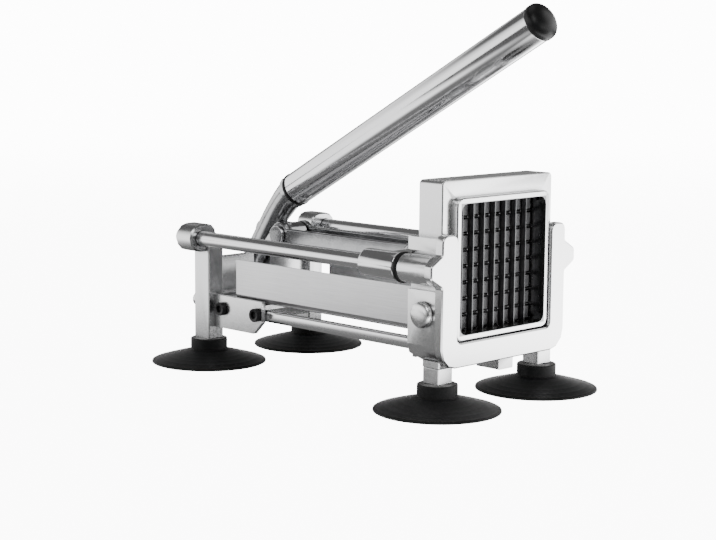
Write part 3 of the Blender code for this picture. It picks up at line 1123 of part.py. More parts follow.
def handle(carrier):
    collar = turned([
        (HANDLE_BORE, 0), (HANDLE_RADIUS + COLLAR_PROUD, 0),
        (HANDLE_RADIUS + COLLAR_PROUD, COLLAR_WIDTH), (HANDLE_BORE, COLLAR_WIDTH),
    ], HANDLE_FOOT, HANDLE_DIRECTION)
    finish_piece(collar, "handle_collar", "black_rubber", carrier)
    tube = turned([
        (HANDLE_BORE, TUBE_START), (HANDLE_RADIUS, TUBE_START),
        (HANDLE_RADIUS, TUBE_END), (HANDLE_BORE, TUBE_END),
    ], HANDLE_FOOT, HANDLE_DIRECTION)
    finish_piece(tube, "handle_tube", "polished_steel", carrier)
    rim = HANDLE_RADIUS + COLLAR_PROUD
    profile = [(0, TUBE_END - CAP_PLUG_LENGTH), (SPIGOT_RADIUS, TUBE_END - CAP_PLUG_LENGTH)]
    profile += [(SPIGOT_RADIUS, CAP_START), (rim, CAP_START), (rim, CAP_START + CAP_SKIRT)]
    for step in range(1, ARC_STEPS + 1):
        angle = math.pi / 2 * step / ARC_STEPS
        profile.append((rim * math.cos(angle), CAP_START + CAP_SKIRT + CAP_DOME * math.sin(angle)))
    profile[-1] = (0, CAP_END)
    finish_piece(turned(profile, HANDLE_FOOT, HANDLE_DIRECTION), "handle_cap", "black_plastic", carrier)


def pivot_bolt(carrier):
    head_foot = PIVOT_LUG_OUTER_X + CLEARANCE
    end = head_foot + PIVOT_NUT_HEIGHT + PIVOT_THREAD_END
    bolt = turned([
        (0, -end), (PIVOT_RADIUS, -end), (PIVOT_RADIUS, head_foot), (PIVOT_HEAD_RADIUS, head_foot),
        (PIVOT_HEAD_RADIUS, head_foot + PIVOT_HEAD_HEIGHT - FRONT_EDGE),
        (PIVOT_HEAD_RADIUS - FRONT_EDGE, head_foot + PIVOT_HEAD_HEIGHT), (0, head_foot + PIVOT_HEAD_HEIGHT),
    ], PIVOT, (-1, 0, 0))
    finish_piece(bolt, "pivot_bolt", "polished_steel", carrier)
    hexagon = circle_outline(PIVOT_Y, PIVOT_Z, PIVOT_HEAD_RADIUS, 6)
    nut = prism(hexagon, "X", head_foot, head_foot + PIVOT_NUT_HEIGHT, FRONT_EDGE)
    reach = PIVOT_NUT_HEIGHT + OVERRUN
    cut(nut, bar("X", (PIVOT_Y, PIVOT_Z), PIVOT_RADIUS + CLEARANCE, head_foot - OVERRUN, head_foot + reach))
    finish_piece(nut, "pivot_nut", "polished_steel", carrier)


def main():
    clear_scene()
    machine = empty_at("machine", (0, MIDDLE_SHIFT_Y, 0), None)
    fixed = empty_at("fixed_frame", (0, 0, 0), machine)
    carriage = empty_at("carriage_line", (0, 0, ROD_Z), machine)
    lever = empty_at("lever_pivot", PIVOT, machine)
    link = empty_at("link_pivot", LINK_PIN - PIVOT, lever)
    feet(fixed)
    front_frame(fixed)
    for side, sign in SIDES:
        lock_screw("lock_screw_" + side, sign, fixed)
    blade_frame(fixed)
    knives(fixed)
    rod_furniture(fixed, carriage)
    tray(fixed)
    rear_bracket(fixed)
    leg_bolts(fixed)
    base_rails(fixed)
    pivot_bolt(fixed)
    pusher_block(carriage)
    pusher_screws(carriage)
    carriage_yoke(carriage)
    lever_arm(lever)
    handle(lever)
    cross_pin(
        "link_pin_rear", LINK_PIN_Y, LINK_Z, LINK_PIN_RADIUS, LINK_PIN_HEAD_RADIUS, LINK_PIN_HEAD_HEIGHT,
        "polished_steel", lever, ROUND_STEPS,
    )
    links(link)
    cross_pin(
        "link_pin_front", HOOK_PIN_Y, LINK_Z, HOOK_PIN_RADIUS, HOOK_PIN_HEAD_RADIUS, HOOK_PIN_HEAD_HEIGHT,
        "polished_steel", link, SMALL_STEPS,
    )


main()
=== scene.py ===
import json
import math

import bmesh
import bpy
from mathutils import Matrix, Vector


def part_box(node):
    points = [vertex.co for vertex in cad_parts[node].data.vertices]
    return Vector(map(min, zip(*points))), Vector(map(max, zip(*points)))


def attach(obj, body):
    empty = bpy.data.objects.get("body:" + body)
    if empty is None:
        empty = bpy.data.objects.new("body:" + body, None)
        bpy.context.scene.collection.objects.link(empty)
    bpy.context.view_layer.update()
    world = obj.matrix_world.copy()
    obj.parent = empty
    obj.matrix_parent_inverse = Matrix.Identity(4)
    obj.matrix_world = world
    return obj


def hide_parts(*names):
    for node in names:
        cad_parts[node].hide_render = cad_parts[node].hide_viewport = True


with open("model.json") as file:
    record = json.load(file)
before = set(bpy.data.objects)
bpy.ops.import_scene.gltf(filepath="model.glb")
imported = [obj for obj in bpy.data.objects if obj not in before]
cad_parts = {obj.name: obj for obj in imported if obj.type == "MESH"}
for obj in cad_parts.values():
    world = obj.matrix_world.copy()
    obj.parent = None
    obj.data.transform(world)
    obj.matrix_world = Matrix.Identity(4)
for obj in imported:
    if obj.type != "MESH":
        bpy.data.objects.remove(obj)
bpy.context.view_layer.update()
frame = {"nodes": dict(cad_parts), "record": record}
record = frame["record"]
bodyOf = {node: body for body, nodes in record["behaviour"]["bodies"].items() for node in nodes}
sides = {"left": -1, "right": 1}
millimetre = 0.001
print("frame loaded:", len(frame["nodes"]), "solids")


def metres(lengths):
    return {name: length * millimetre for name, length in lengths.items()}


def addObject(name, data):
    thing = bpy.data.objects.new(name, data)
    bpy.context.scene.collection.objects.link(thing)
    return thing


# Camera: the photograph's own, found from the cups, rods and window
cameraValues = {
    "place": (-0.76644, -0.75214, 0.21977),
    "azimuth": -45.1396,
    "elevation": 8.083,
    "roll": 0.44807,
    "lens": 86.095,
    "sensor": 36.0,
    "farthest": 30.0,
}


def makeCamera(values):
    azimuth, elevation, roll = (
        math.radians(values[key]) for key in ("azimuth", "elevation", "roll")
    )
    back = Vector((
        math.sin(azimuth) * math.cos(elevation), -math.cos(azimuth) * math.cos(elevation),
        math.sin(elevation),
    ))
    level = Vector((math.cos(azimuth), math.sin(azimuth), 0))
    upright = back.cross(level)
    right = level * math.cos(roll) + upright * math.sin(roll)
    up = upright * math.cos(roll) - level * math.sin(roll)
    data = bpy.data.cameras.new("camera")
    data.sensor_width = values["sensor"]
    data.lens = values["lens"]
    data.clip_end = values["farthest"]
    camera = addObject("camera", data)
    turn = Matrix((right, up, back)).transposed().to_4x4()
    camera.matrix_world = Matrix.Translation(values["place"]) @ turn
    bpy.context.scene.camera = camera


makeCamera(cameraValues)
print("camera placed")


# The nodes of one material or group, laid out in a row from left to right
class Shader:
    def __init__(self, tree):
        self.tree = tree
        self.column = 0

    def put(self, socket, value):
        if isinstance(value, bpy.types.NodeSocket):
            self.tree.links.new(value, socket)
        else:
            socket.default_value = value

    def add(self, kind, links=None, **settings):
        node = self.tree.nodes.new(kind)
        node.location = (self.column * 200, 0)
        self.column += 1
        for name, value in settings.items():
            setattr(node, name, value)
        for name, value in (links or {}).items():
            self.put(node.inputs[name], value)
        return node

    def math(self, operation, first, second=0.0):
        return self.add("ShaderNodeMath", {0: first, 1: second}, operation=operation).outputs[0]

    def spread(self, value, low, high):
        links = {"Value": value, "To Min": low, "To Max": high}
        return self.add("ShaderNodeMapRange", links).outputs["Result"]


def smoothStep(shader, value, reach, low=0.0, high=1.0):
    links = {
        "Value": value, "From Min": reach[0], "From Max": reach[1], "To Min": low, "To Max": high,
    }
    node = shader.add("ShaderNodeMapRange", links, interpolation_type="SMOOTHSTEP")
    return node.outputs["Result"]


def blendValues(shader, factor, first, second):
    links = {0: factor, 2: first, 3: second}
    return shader.add("ShaderNodeMix", links, data_type="FLOAT").outputs[0]


def blendColours(shader, factor, first, second):
    node = shader.add("ShaderNodeMix", {0: factor}, data_type="RGBA")
    for index, colour in ((6, first), (7, second)):
        isSocket = isinstance(colour, bpy.types.NodeSocket)
        shader.put(node.inputs[index], colour if isSocket else (*colour, 1))
    return node.outputs[2]


def along(shader, vector, direction):
    node = shader.add("ShaderNodeVectorMath", {0: vector, 1: direction}, operation="DOT_PRODUCT")
    return node.outputs["Value"]


def objectPlace(shader):
    return shader.add("ShaderNodeTexCoord").outputs["Object"]


def newGroup(name, inputs, outputs):
    group = bpy.data.node_groups.new(name, "ShaderNodeTree")
    for label, kind, value in inputs:
        socket = group.interface.new_socket(
            label, in_out="INPUT", socket_type="NodeSocket" + kind,
        )
        socket.default_value = value
    for label, kind in outputs:
        group.interface.new_socket(label, in_out="OUTPUT", socket_type="NodeSocket" + kind)
    shader = Shader(group)
    given = shader.add("NodeGroupInput").outputs
    result = shader.add("NodeGroupOutput").inputs
    return group, shader, given, result


# Noise at a place, put out as a mask from 0 to 1 and as the bumps that go with it
def putNoise(shader, place, given, result, detail, roughness):
    noise = shader.add("ShaderNodeTexNoise", {
        "Vector": place, "Scale": given["Scale"], "Detail": detail, "Roughness": roughness,
    })
    bump = shader.add("ShaderNodeBump", {
        "Height": noise.outputs["Fac"], "Strength": given["Bump"], "Distance": given["Depth"],
    })
    shader.put(result["Mask"], noise.outputs["Fac"])
    shader.put(result["Normal"], bump.outputs["Normal"])


# Fine mottling of a cast or moulded surface
def makeMottleGroup():
    group, shader, given, result = newGroup("mottle", [
        ("Scale", "Float", 400.0), ("Detail", "Float", 4.0), ("Bump", "Float", 0.1),
        ("Depth", "Float", 0.00005),
    ], [("Mask", "Float"), ("Normal", "Vector")])
    putNoise(shader, objectPlace(shader), given, result, detail=given["Detail"], roughness=0.6)
    return group


# Lines left by brushing or drawing: noise stretched along one axis
def makeBrushedGroup():
    group, shader, given, result = newGroup("brushedLines", [
        ("Stretch", "Vector", (1.0, 1.0, 1.0)), ("Scale", "Float", 900.0), ("Bump", "Float", 0.1),
        ("Depth", "Float", 0.00003),
    ], [("Mask", "Float"), ("Normal", "Vector")])
    links = {0: objectPlace(shader), 1: given["Stretch"]}
    stretched = shader.add("ShaderNodeVectorMath", links, operation="MULTIPLY").outputs[0]
    putNoise(shader, stretched, given, result, detail=3.0, roughness=0.55)
    return group


edgeValues = {"raised": (0.51, 0.56), "detail": 4.0, "samples": 4}


# Edges that handling has rubbed bright, and painted shade: hollows and gaps darkened by ambient
# occlusion
def makeEdgeGroup(values):
    group, shader, given, result = newGroup("edgeWearAndShade", [
        ("Radius", "Float", 0.0008), ("Break Up", "Float", 300.0), ("Amount", "Float", 0.5),
    ], [("Worn", "Float"), ("Painted Shade", "Float")])
    noise = shader.add("ShaderNodeTexNoise", {
        "Vector": objectPlace(shader), "Scale": given["Break Up"], "Detail": values["detail"],
    })
    point = shader.add("ShaderNodeNewGeometry").outputs["Pointiness"]
    raised = shader.add("ShaderNodeMapRange", {
        "Value": point, "From Min": values["raised"][0], "From Max": values["raised"][1],
    })
    broken = shader.math("MULTIPLY", raised.outputs["Result"], noise.outputs["Fac"])
    shut = shader.add(
        "ShaderNodeAmbientOcclusion", {"Distance": given["Radius"]}, samples=values["samples"],
    )
    shader.put(result["Worn"], shader.math("MULTIPLY", broken, given["Amount"]))
    shader.put(result["Painted Shade"], shader.math("SUBTRACT", 1.0, shut.outputs["AO"]))
    return group


mottle = makeMottleGroup()
brushedLines = makeBrushedGroup()
edgeWearAndShade = makeEdgeGroup(edgeValues)


def useGroup(shader, group, links):
    return shader.add("ShaderNodeGroup", links, node_tree=group).outputs


def cloudMask(shader, scale, detail=3.0):
    return useGroup(shader, mottle, {"Scale": scale, "Detail": detail})["Mask"]


def newMaterial(name):
    material = bpy.data.materials.new(name)
    material.use_nodes = True
    material.node_tree.nodes.clear()
    return material, Shader(material.node_tree)


def closeMaterial(shader, links):
    principled = shader.add("ShaderNodeBsdfPrincipled", links)
    shader.add("ShaderNodeOutputMaterial", {"Surface": principled.outputs["BSDF"]})


# Cast and polished metals
# hollow: the colour of the painted shade in hollows and gaps
metalValues = {
    "castAluminium": {
        "light": (0.98, 0.982, 0.985), "dark": (0.80, 0.803, 0.808), "rough": (0.18, 0.32),
        "scale": 420.0, "bump": 0.07, "depth": 0.00006, "worn": 0.3,
        "hollow": (0.10, 0.10, 0.105),
    },
    "polishedSteel": {
        "light": (0.90, 0.90, 0.91), "dark": (0.78, 0.78, 0.79), "rough": (0.07, 0.18),
        "scale": 90.0, "bump": 0.03, "depth": 0.00004, "worn": 0.3,
        "hollow": (0.08, 0.08, 0.085),
    },
    "armCasting": {
        "light": (0.50, 0.503, 0.51), "dark": (0.24, 0.243, 0.25), "rough": (0.12, 0.26),
        "scale": 200.0, "bump": 0.25, "depth": 0.00014, "worn": 0.4,
        "hollow": (0.06, 0.06, 0.065),
    },
    # cast aluminium with painted shade on the window's inner walls
    "windowCasting": {
        "light": (0.98, 0.982, 0.985), "dark": (0.80, 0.803, 0.808), "rough": (0.18, 0.32),
        "scale": 420.0, "bump": 0.07, "depth": 0.00006, "worn": 0.3,
        "hollow": (0.10, 0.10, 0.105), "paintedWindowShade": (0.22, 0.221, 0.225),
    },
    # painted shade: the rear parts are a darker copy of the cast aluminium, for the shade at the
    # rear
    "shadedRearCasting": {
        "light": (0.66, 0.663, 0.67), "dark": (0.40, 0.403, 0.41), "rough": (0.16, 0.32),
        "scale": 260.0, "bump": 0.22, "depth": 0.00012, "worn": 0.4,
        "hollow": (0.06, 0.06, 0.065), "sideLight": (0.86, 0.865, 0.87),
    },
}
# also how far and how strongly the painted shade darkens hollows
metalWear = {
    "detail": 5.0, "shadeRadius": 3.0, "shadeShare": 0.85, "breakUp": 500.0,
    "wornColour": (0.97, 0.97, 0.97), "sideLightReach": (0.6, 0.9), "sideLightShare": (0.8, 1.0),
}

# The window's inner walls, coloured darker as painted shade for the shade and dark reflections
# inside the window
windowValues = {"half": 38.25, "height": 82.2, "soft": 0.35}


def insideWindow(shader, values):
    size = metres(values)
    place = shader.add("ShaderNodeSeparateXYZ", {"Vector": objectPlace(shader)}).outputs
    reach = (size["half"], size["half"] + size["soft"])
    away = [
        shader.math("ABSOLUTE", shader.math("SUBTRACT", place[axis], centre))
        for axis, centre in (("X", 0.0), ("Z", size["height"]))
    ]
    across, up = (smoothStep(shader, distance, reach, 1.0, 0.0) for distance in away)
    return shader.math("MULTIPLY", across, up)


# Faces that look sideways, coloured lighter as painted light
def paintedSideLight(shader, grain, wear):
    facing = shader.add("ShaderNodeTexCoord").outputs["Normal"]
    turned = shader.add("ShaderNodeSeparateXYZ", {"Vector": facing}).outputs["X"]
    sideways = smoothStep(shader, shader.math("ABSOLUTE", turned), wear["sideLightReach"])
    return shader.math("MULTIPLY", sideways, shader.spread(grain, *wear["sideLightShare"]))


def makeMetal(name, values, wear=metalWear):
    material, shader = newMaterial(name)
    grain = useGroup(shader, mottle, {
        "Scale": values["scale"], "Detail": wear["detail"], "Bump": values["bump"],
        "Depth": values["depth"],
    })
    edges = useGroup(shader, edgeWearAndShade, {
        "Radius": wear["shadeRadius"] * millimetre, "Break Up": wear["breakUp"],
        "Amount": values["worn"],
    })
    colour = blendColours(shader, grain["Mask"], values["dark"], values["light"])
    # painted light: faces that look sideways are lighter than the rest
    if "sideLight" in values:
        sideLight = paintedSideLight(shader, grain["Mask"], wear)
        colour = blendColours(shader, sideLight, colour, values["sideLight"])
    if "paintedWindowShade" in values:
        # painted shade on the window's inner walls
        window = insideWindow(shader, windowValues)
        colour = blendColours(shader, window, colour, values["paintedWindowShade"])
    # painted shade: hollows and gaps darkened by ambient occlusion
    paintedShade = shader.math("MULTIPLY", edges["Painted Shade"], wear["shadeShare"])
    colour = blendColours(shader, paintedShade, colour, values["hollow"])
    colour = blendColours(shader, edges["Worn"], colour, wear["wornColour"])
    closeMaterial(shader, {
        "Base Color": colour, "Metallic": 1.0, "Normal": grain["Normal"],
        "Roughness": shader.spread(grain["Mask"], *values["rough"]),
    })
    return material


# Brushed sheet, knives and drawn bars
# hollow: the colour of the painted shade in hollows and gaps
brushedValues = {
    "brushedSteel": {
        "light": (0.96, 0.96, 0.97), "dark": (0.46, 0.46, 0.47), "rough": (0.24, 0.45),
        "stretch": (1.0, 0.03, 1.0), "scale": 1400.0, "bump": 0.25, "depth": 0.00003,
        "anisotropic": 0.5, "hollow": (0.15, 0.15, 0.155),
    },
    # painted shade: the knives are coloured near black for the shade inside the window
    "shadedKnifeSteel": {
        "light": (0.16, 0.161, 0.164), "dark": (0.10, 0.101, 0.103), "rough": (0.34, 0.50),
        "stretch": (1.0, 0.2, 1.0), "scale": 1200.0, "bump": 0.12, "depth": 0.00002,
        "anisotropic": 0.3, "hollow": (0.01, 0.01, 0.0105),
    },
    "drawnSteel": {
        "light": (0.95, 0.95, 0.96), "dark": (0.80, 0.80, 0.81), "rough": (0.10, 0.22),
        "stretch": (1.0, 0.02, 1.0), "scale": 700.0, "bump": 0.06, "depth": 0.00002,
        "anisotropic": 0.4, "hollow": (0.12, 0.12, 0.125),
    },
}
# also how far and how strongly the painted shade darkens hollows
brushedWear = {
    "lineShare": 0.6, "cloudShare": 0.4, "cloudScale": 35.0, "shadeRadius": 1.5,
    "shadeShare": 0.5,
}


def makeBrushedMetal(name, values, wear=brushedWear):
    material, shader = newMaterial(name)
    lines = useGroup(shader, brushedLines, {
        "Stretch": values["stretch"], "Scale": values["scale"], "Bump": values["bump"],
        "Depth": values["depth"],
    })
    edges = useGroup(shader, edgeWearAndShade, {"Radius": wear["shadeRadius"] * millimetre})
    cloud = shader.math("MULTIPLY", cloudMask(shader, wear["cloudScale"]), wear["cloudShare"])
    mixed = shader.math("MULTIPLY", lines["Mask"], wear["lineShare"])
    mixed = shader.math("ADD", mixed, cloud)
    colour = blendColours(shader, mixed, values["dark"], values["light"])
    # painted shade: hollows and gaps darkened by ambient occlusion
    paintedShade = shader.math("MULTIPLY", edges["Painted Shade"], wear["shadeShare"])
    colour = blendColours(shader, paintedShade, colour, values["hollow"])
    closeMaterial(shader, {
        "Base Color": colour, "Metallic": 1.0, "Normal": lines["Normal"],
        "Roughness": shader.spread(mixed, *values["rough"]), "Anisotropic": values["anisotropic"],
    })
    return material


# Rubber, plastics and blackened screws
blackValues = {
    "blackRubber": {
        "deep": (0.007, 0.007, 0.0073), "dusty": (0.035, 0.035, 0.036), "rough": (0.36, 0.54),
        "scale": 700.0, "bump": 0.25, "depth": 0.00004, "dust": 0.25, "specular": 0.2,
        "sheen": 1.0,
    },
    "blackPlastic": {
        "deep": (0.008, 0.008, 0.0085), "dusty": (0.03, 0.03, 0.031), "rough": (0.26, 0.40),
        "scale": 900.0, "bump": 0.15, "depth": 0.00003, "dust": 0.15, "specular": 0.25,
        "sheen": 0.0,
    },
    "pegPlastic": {
        "deep": (0.12, 0.121, 0.124), "dusty": (0.27, 0.27, 0.276), "rough": (0.30, 0.45),
        "scale": 900.0, "bump": 0.15, "depth": 0.00003, "dust": 0.3, "specular": 0.4,
        "sheen": 0.0,
    },
    "blackOxide": {
        "deep": (0.010, 0.010, 0.011), "dusty": (0.04, 0.04, 0.042), "rough": (0.30, 0.45),
        "scale": 800.0, "bump": 0.10, "depth": 0.00003, "dust": 0.10, "specular": 0.25,
        "sheen": 0.0,
    },
}
blackWear = {
    "detail": 6.0, "patchScale": 60.0, "breakUp": 500.0, "worn": 0.35,
    "wornColour": (0.06, 0.06, 0.063), "sheenRoughness": 0.21,
}


def makeBlack(name, values, wear=blackWear):
    material, shader = newMaterial(name)
    grain = useGroup(shader, mottle, {
        "Scale": values["scale"], "Detail": wear["detail"], "Bump": values["bump"],
        "Depth": values["depth"],
    })
    edges = useGroup(shader, edgeWearAndShade, {"Break Up": wear["breakUp"], "Amount": wear["worn"]})
    patches = shader.math("MULTIPLY", cloudMask(shader, wear["patchScale"]), grain["Mask"])
    dust = shader.math("MULTIPLY", patches, values["dust"])
    colour = blendColours(shader, dust, values["deep"], values["dusty"])
    colour = blendColours(shader, edges["Worn"], colour, wear["wornColour"])
    closeMaterial(shader, {
        "Base Color": colour, "Normal": grain["Normal"],
        "Roughness": shader.spread(grain["Mask"], *values["rough"]),
        "Specular IOR Level": values["specular"], "Sheen Weight": values["sheen"],
        "Sheen Roughness": wear["sheenRoughness"],
    })
    return material


materials = {name: makeMetal(name, values) for name, values in metalValues.items()}
materials.update({name: makeBrushedMetal(name, values) for name, values in brushedValues.items()})
materials.update({name: makeBlack(name, values) for name, values in blackValues.items()})
print("materials made:", len(materials))


# Pieces: each takes the place of the solid that it is named after
def closeMesh(build, name):
    mesh = bpy.data.meshes.new(name)
    build.to_mesh(mesh)
    build.free()
    return mesh


def addPiece(mesh, material, node, smoothAngle):
    piece = addObject(node + "_shape", mesh)
    mesh.materials.clear()
    mesh.materials.append(materials[material])
    mesh.shade_smooth()
    mesh.set_sharp_from_angle(angle=math.radians(smoothAngle))
    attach(piece, bodyOf[node])
    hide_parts(node)
    return piece


softening = {"join": 0.01, "flatAngle": 0.6, "edgeAngle": 38.0, "segments": 3}


def softenEdges(piece, width, segments):
    bevel = piece.modifiers.new("soft edges", "BEVEL")
    bevel.width = width * millimetre
    bevel.segments = segments
    bevel.limit_method = "ANGLE"
    bevel.angle_limit = math.radians(softening["edgeAngle"])
    bevel.harden_normals = True


# The solid's own form with flat faces joined up and its edges softened
def softened(node, material, width, segments=softening["segments"]):
    build = bmesh.new()
    build.from_mesh(frame["nodes"][node].data)
    bmesh.ops.remove_doubles(build, verts=build.verts, dist=softening["join"] * millimetre)
    bmesh.ops.dissolve_limit(
        build, angle_limit=math.radians(softening["flatAngle"]), verts=build.verts,
        edges=build.edges, delimit=set(),
    )
    mesh = closeMesh(build, node + "_shape")
    softenEdges(addPiece(mesh, material, node, softening["edgeAngle"]), width, segments)


turnedValues = {"steps": 96, "screwSteps": 64, "smoothAngle": 40.0}


# A turned form: its profile is a list of (radius, height) in metres about an axis.
# A point on the axis is a single vertex, and the faces that meet there are triangles.
def turnedMesh(name, profile, origin, direction, steps):
    build = bmesh.new()
    angles = [2 * math.pi * step / steps for step in range(steps)]
    rings = [
        [
            build.verts.new((radius * math.cos(angle), radius * math.sin(angle), height))
            for angle in angles[:steps if radius > 0 else 1]
        ]
        for radius, height in profile
    ]
    for lower, upper in zip(rings, rings[1:] + rings[:1]):
        for step in range(steps):
            after = step + 1
            corners = dict.fromkeys((
                lower[step % len(lower)], lower[after % len(lower)],
                upper[after % len(upper)], upper[step % len(upper)],
            ))
            if len(corners) > 2:
                build.faces.new(list(corners))
    bmesh.ops.recalc_face_normals(build, faces=build.faces)
    turn = Vector((0, 0, 1)).rotation_difference(Vector(direction)).to_matrix().to_4x4()
    build.transform(Matrix.Translation(origin) @ turn)
    return closeMesh(build, name)


roundingRoom = 2.2  # a corner stays sharp where a side is shorter than this many radii


# Rounds the corners of a profile, given as (radius, height, corner radius) points
def roundedProfile(corners, steps=4):
    outline = []
    for index, (u, v, size) in enumerate(corners):
        here = Vector((u, v))
        before = Vector(corners[index - 1][:2]) - here
        after = Vector(corners[(index + 1) % len(corners)][:2]) - here
        if size == 0 or min(before.length, after.length) < roundingRoom * size:
            outline.append(here)
            continue
        before.normalize()
        after.normalize()
        half = before.angle(after) / 2
        centre = here + (before + after).normalized() * size / math.sin(half)
        start = here + before * size / math.tan(half) - centre
        finish = here + after * size / math.tan(half) - centre
        first = math.atan2(start.y, start.x)
        turn = (math.atan2(finish.y, finish.x) - first + math.pi) % (2 * math.pi) - math.pi
        for step in range(steps + 1):
            angle = first + turn * step / steps
            outline.append(centre + size * Vector((math.cos(angle), math.sin(angle))))
    return outline


# A quarter of a round from its side to its top, without the first point
def quarterRound(across, up, steps, last):
    turns = [math.pi / 2 * step / steps for step in range(1, last + 1)]
    return [(across * math.cos(turn), up * math.sin(turn)) for turn in turns]


# Suction cups: lengths in millimetres
cupValues = {
    "lengths": {
        "hollow": 3.6, "rimWidth": 2.6, "lipRound": 0.5, "rimTaper": 0.2, "rimHeight": 1.2,
        "shoulder": 8.0, "ridgeHeight": 0.12, "neckFoot": 1.6, "neckRise": 1.0, "collar": 12.0,
        "neckBead": 0.7, "socket": 3.4, "socketLand": 1.2, "socketEdge": 0.5, "socketDepth": 6.8,
    },
    "hollowShares": (0.3, 0.55, 0.75, 0.9), "lipShare": 0.3, "flare": 0.93,
    "ridges": 5, "ridgePoints": 8, "beadSteps": 4, "steps": 128, "smoothAngle": 50.0,
}


def makeCup(node, values):
    low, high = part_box(node)
    middle = (low + high) / 2
    radius = (high.y - low.y) / 2
    height = high.z - low.z
    size = metres(values["lengths"])
    foot = radius - size["rimWidth"]
    lip = size["lipRound"]
    edge = radius - size["rimTaper"]
    profile = [(0, size["hollow"])]
    profile += [(foot * at, size["hollow"] * (1 - at ** 3)) for at in values["hollowShares"]]
    profile += [
        (foot, 0), (radius - lip, 0), (radius - values["lipShare"] * lip, values["lipShare"] * lip),
        (radius, lip), (edge, size["rimHeight"]),
    ]
    reach = radius - size["collar"] - size["neckFoot"]
    rise = size["shoulder"] - size["rimHeight"]
    count = values["ridges"] * values["ridgePoints"]
    for index in range(1, count + 1):
        share = index / count
        wave = max(0, math.sin(share * values["ridges"] * 2 * math.pi)) ** 2
        ridge = size["ridgeHeight"] * wave * (1 - share)
        up = size["rimHeight"] + rise * share ** values["flare"] + ridge
        profile.append((edge - reach * share, up))
    collar, bead, socket = size["collar"], size["neckBead"], size["socket"]
    profile += [(collar, size["shoulder"] + size["neckRise"]), (collar, height - bead)]
    profile += [
        (collar - bead + across, height - bead + up)
        for across, up in quarterRound(bead, bead, values["beadSteps"], values["beadSteps"])
    ]
    profile += [
        (socket + size["socketLand"], height), (socket, height - size["socketEdge"]),
        (socket, height - size["socketDepth"]), (0, height - size["socketDepth"]),
    ]
    place = (middle.x, middle.y, low.z)
    mesh = turnedMesh(node + "_shape", profile, place, (0, 0, 1), values["steps"])
    addPiece(mesh, "blackRubber", node, values["smoothAngle"])


for end in ("front", "rear"):
    for side in sides:
        makeCup("suction_cup_" + end + "_" + side, cupValues)
print("suction cups made")

# Castings and sheet parts: material, and width of the softened edge in millimetres
softValues = {
    "front_frame": ("castAluminium", 1.0), "blade_frame": ("windowCasting", 1.1),
    "rear_bracket": ("shadedRearCasting", 0.45), "carriage_yoke": ("shadedRearCasting", 0.4),
    "lever_arm": ("armCasting", 0.35), "pusher_block": ("pegPlastic", 0.25),
    "tray": ("brushedSteel", 0.25), "front_post_left": ("castAluminium", 0.5),
    "front_post_right": ("castAluminium", 0.5), "link_bar_left": ("armCasting", 0.2),
    "link_bar_right": ("armCasting", 0.2), "pivot_nut": ("polishedSteel", 0.3),
    "rear_stud_left": ("polishedSteel", 0.1), "rear_stud_right": ("polishedSteel", 0.1),
}
for node, (material, width) in softValues.items():
    softened(node, material, width)
print("castings and tray softened")

# Base rails: lengths in millimetres
railValues = {
    "round": 2.2, "roundSteps": 8, "endWidth": 0.2, "endSteps": 2, "smoothAngle": 40.0,
}


# Drawn bars with rounded edges; the screws that hold them fill their holes
def makeRail(node, values):
    low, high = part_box(node)
    size = values["round"] * millimetre
    corners = [(low.x, low.z), (high.x, low.z), (high.x, high.z), (low.x, high.z)]
    section = roundedProfile([(*corner, size) for corner in corners], values["roundSteps"])
    build = bmesh.new()
    front, rear = (
        [build.verts.new((point.x, y, point.y)) for point in section] for y in (low.y, high.y)
    )
    build.faces.new(front)
    build.faces.new(rear)
    for index in range(len(section)):
        build.faces.new((front[index - 1], front[index], rear[index], rear[index - 1]))
    bmesh.ops.recalc_face_normals(build, faces=build.faces)
    mesh = closeMesh(build, node + "_shape")
    piece = addPiece(mesh, "drawnSteel", node, values["smoothAngle"])
    softenEdges(piece, values["endWidth"], values["endSteps"])


for side in sides:
    makeRail("base_rail_" + side, railValues)
print("base rails made")

# Knives: their edges stay almost sharp
knifeValues = {"material": "shadedKnifeSteel", "width": 0.05, "segments": 1}
for node in frame["nodes"]:
    if node.startswith("knife_"):
        softened(node, **knifeValues)
print("knives made")

# Rods, rings and sleeves: lengths in millimetres
rodValues = {
    "rod": 4.75, "rodRound": 0.3, "hole": 2.9, "holeDepth": 12.0, "bore": 5.05,
    "ring": 9.2, "ringRound": 1.2, "sleeve": 8.5, "sleeveRound": 0.9,
}


def makeTurned(node, material, corners, origin, direction, steps=turnedValues["steps"]):
    mesh = turnedMesh(node + "_shape", roundedProfile(corners), origin, direction, steps)
    addPiece(mesh, material, node, turnedValues["smoothAngle"])


def ringCorners(inner, outer, low, high, size):
    return [(inner, low, 0), (outer, low, size), (outer, high, size), (inner, high, 0)]


def makeRods(values):
    size = metres(values)
    for side in sides:
        for prefix, kind, material in (
            ("stop_ring_", "ring", "blackRubber"), ("sleeve_", "sleeve", "polishedSteel"),
        ):
            low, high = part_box(prefix + side)
            middle = (low + high) / 2
            corners = ringCorners(size["bore"], size[kind], low.y, high.y, size[kind + "Round"])
            makeTurned(prefix + side, material, corners, (middle.x, 0, middle.z), (0, 1, 0))
        node = "side_rod_" + side
        low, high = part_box(node)
        middle = (low + high) / 2
        deep = high.y - size["holeDepth"]
        corners = [
            (0, low.y, 0), (size["rod"], low.y, size["rodRound"]),
            (size["rod"], high.y, size["rodRound"]), (size["hole"], high.y, 0),
            (size["hole"], deep, 0), (0, deep, 0),
        ]
        makeTurned(node, "drawnSteel", corners, (middle.x, 0, middle.z), (0, 1, 0))


makeRods(rodValues)
print("rods, rings and sleeves made")

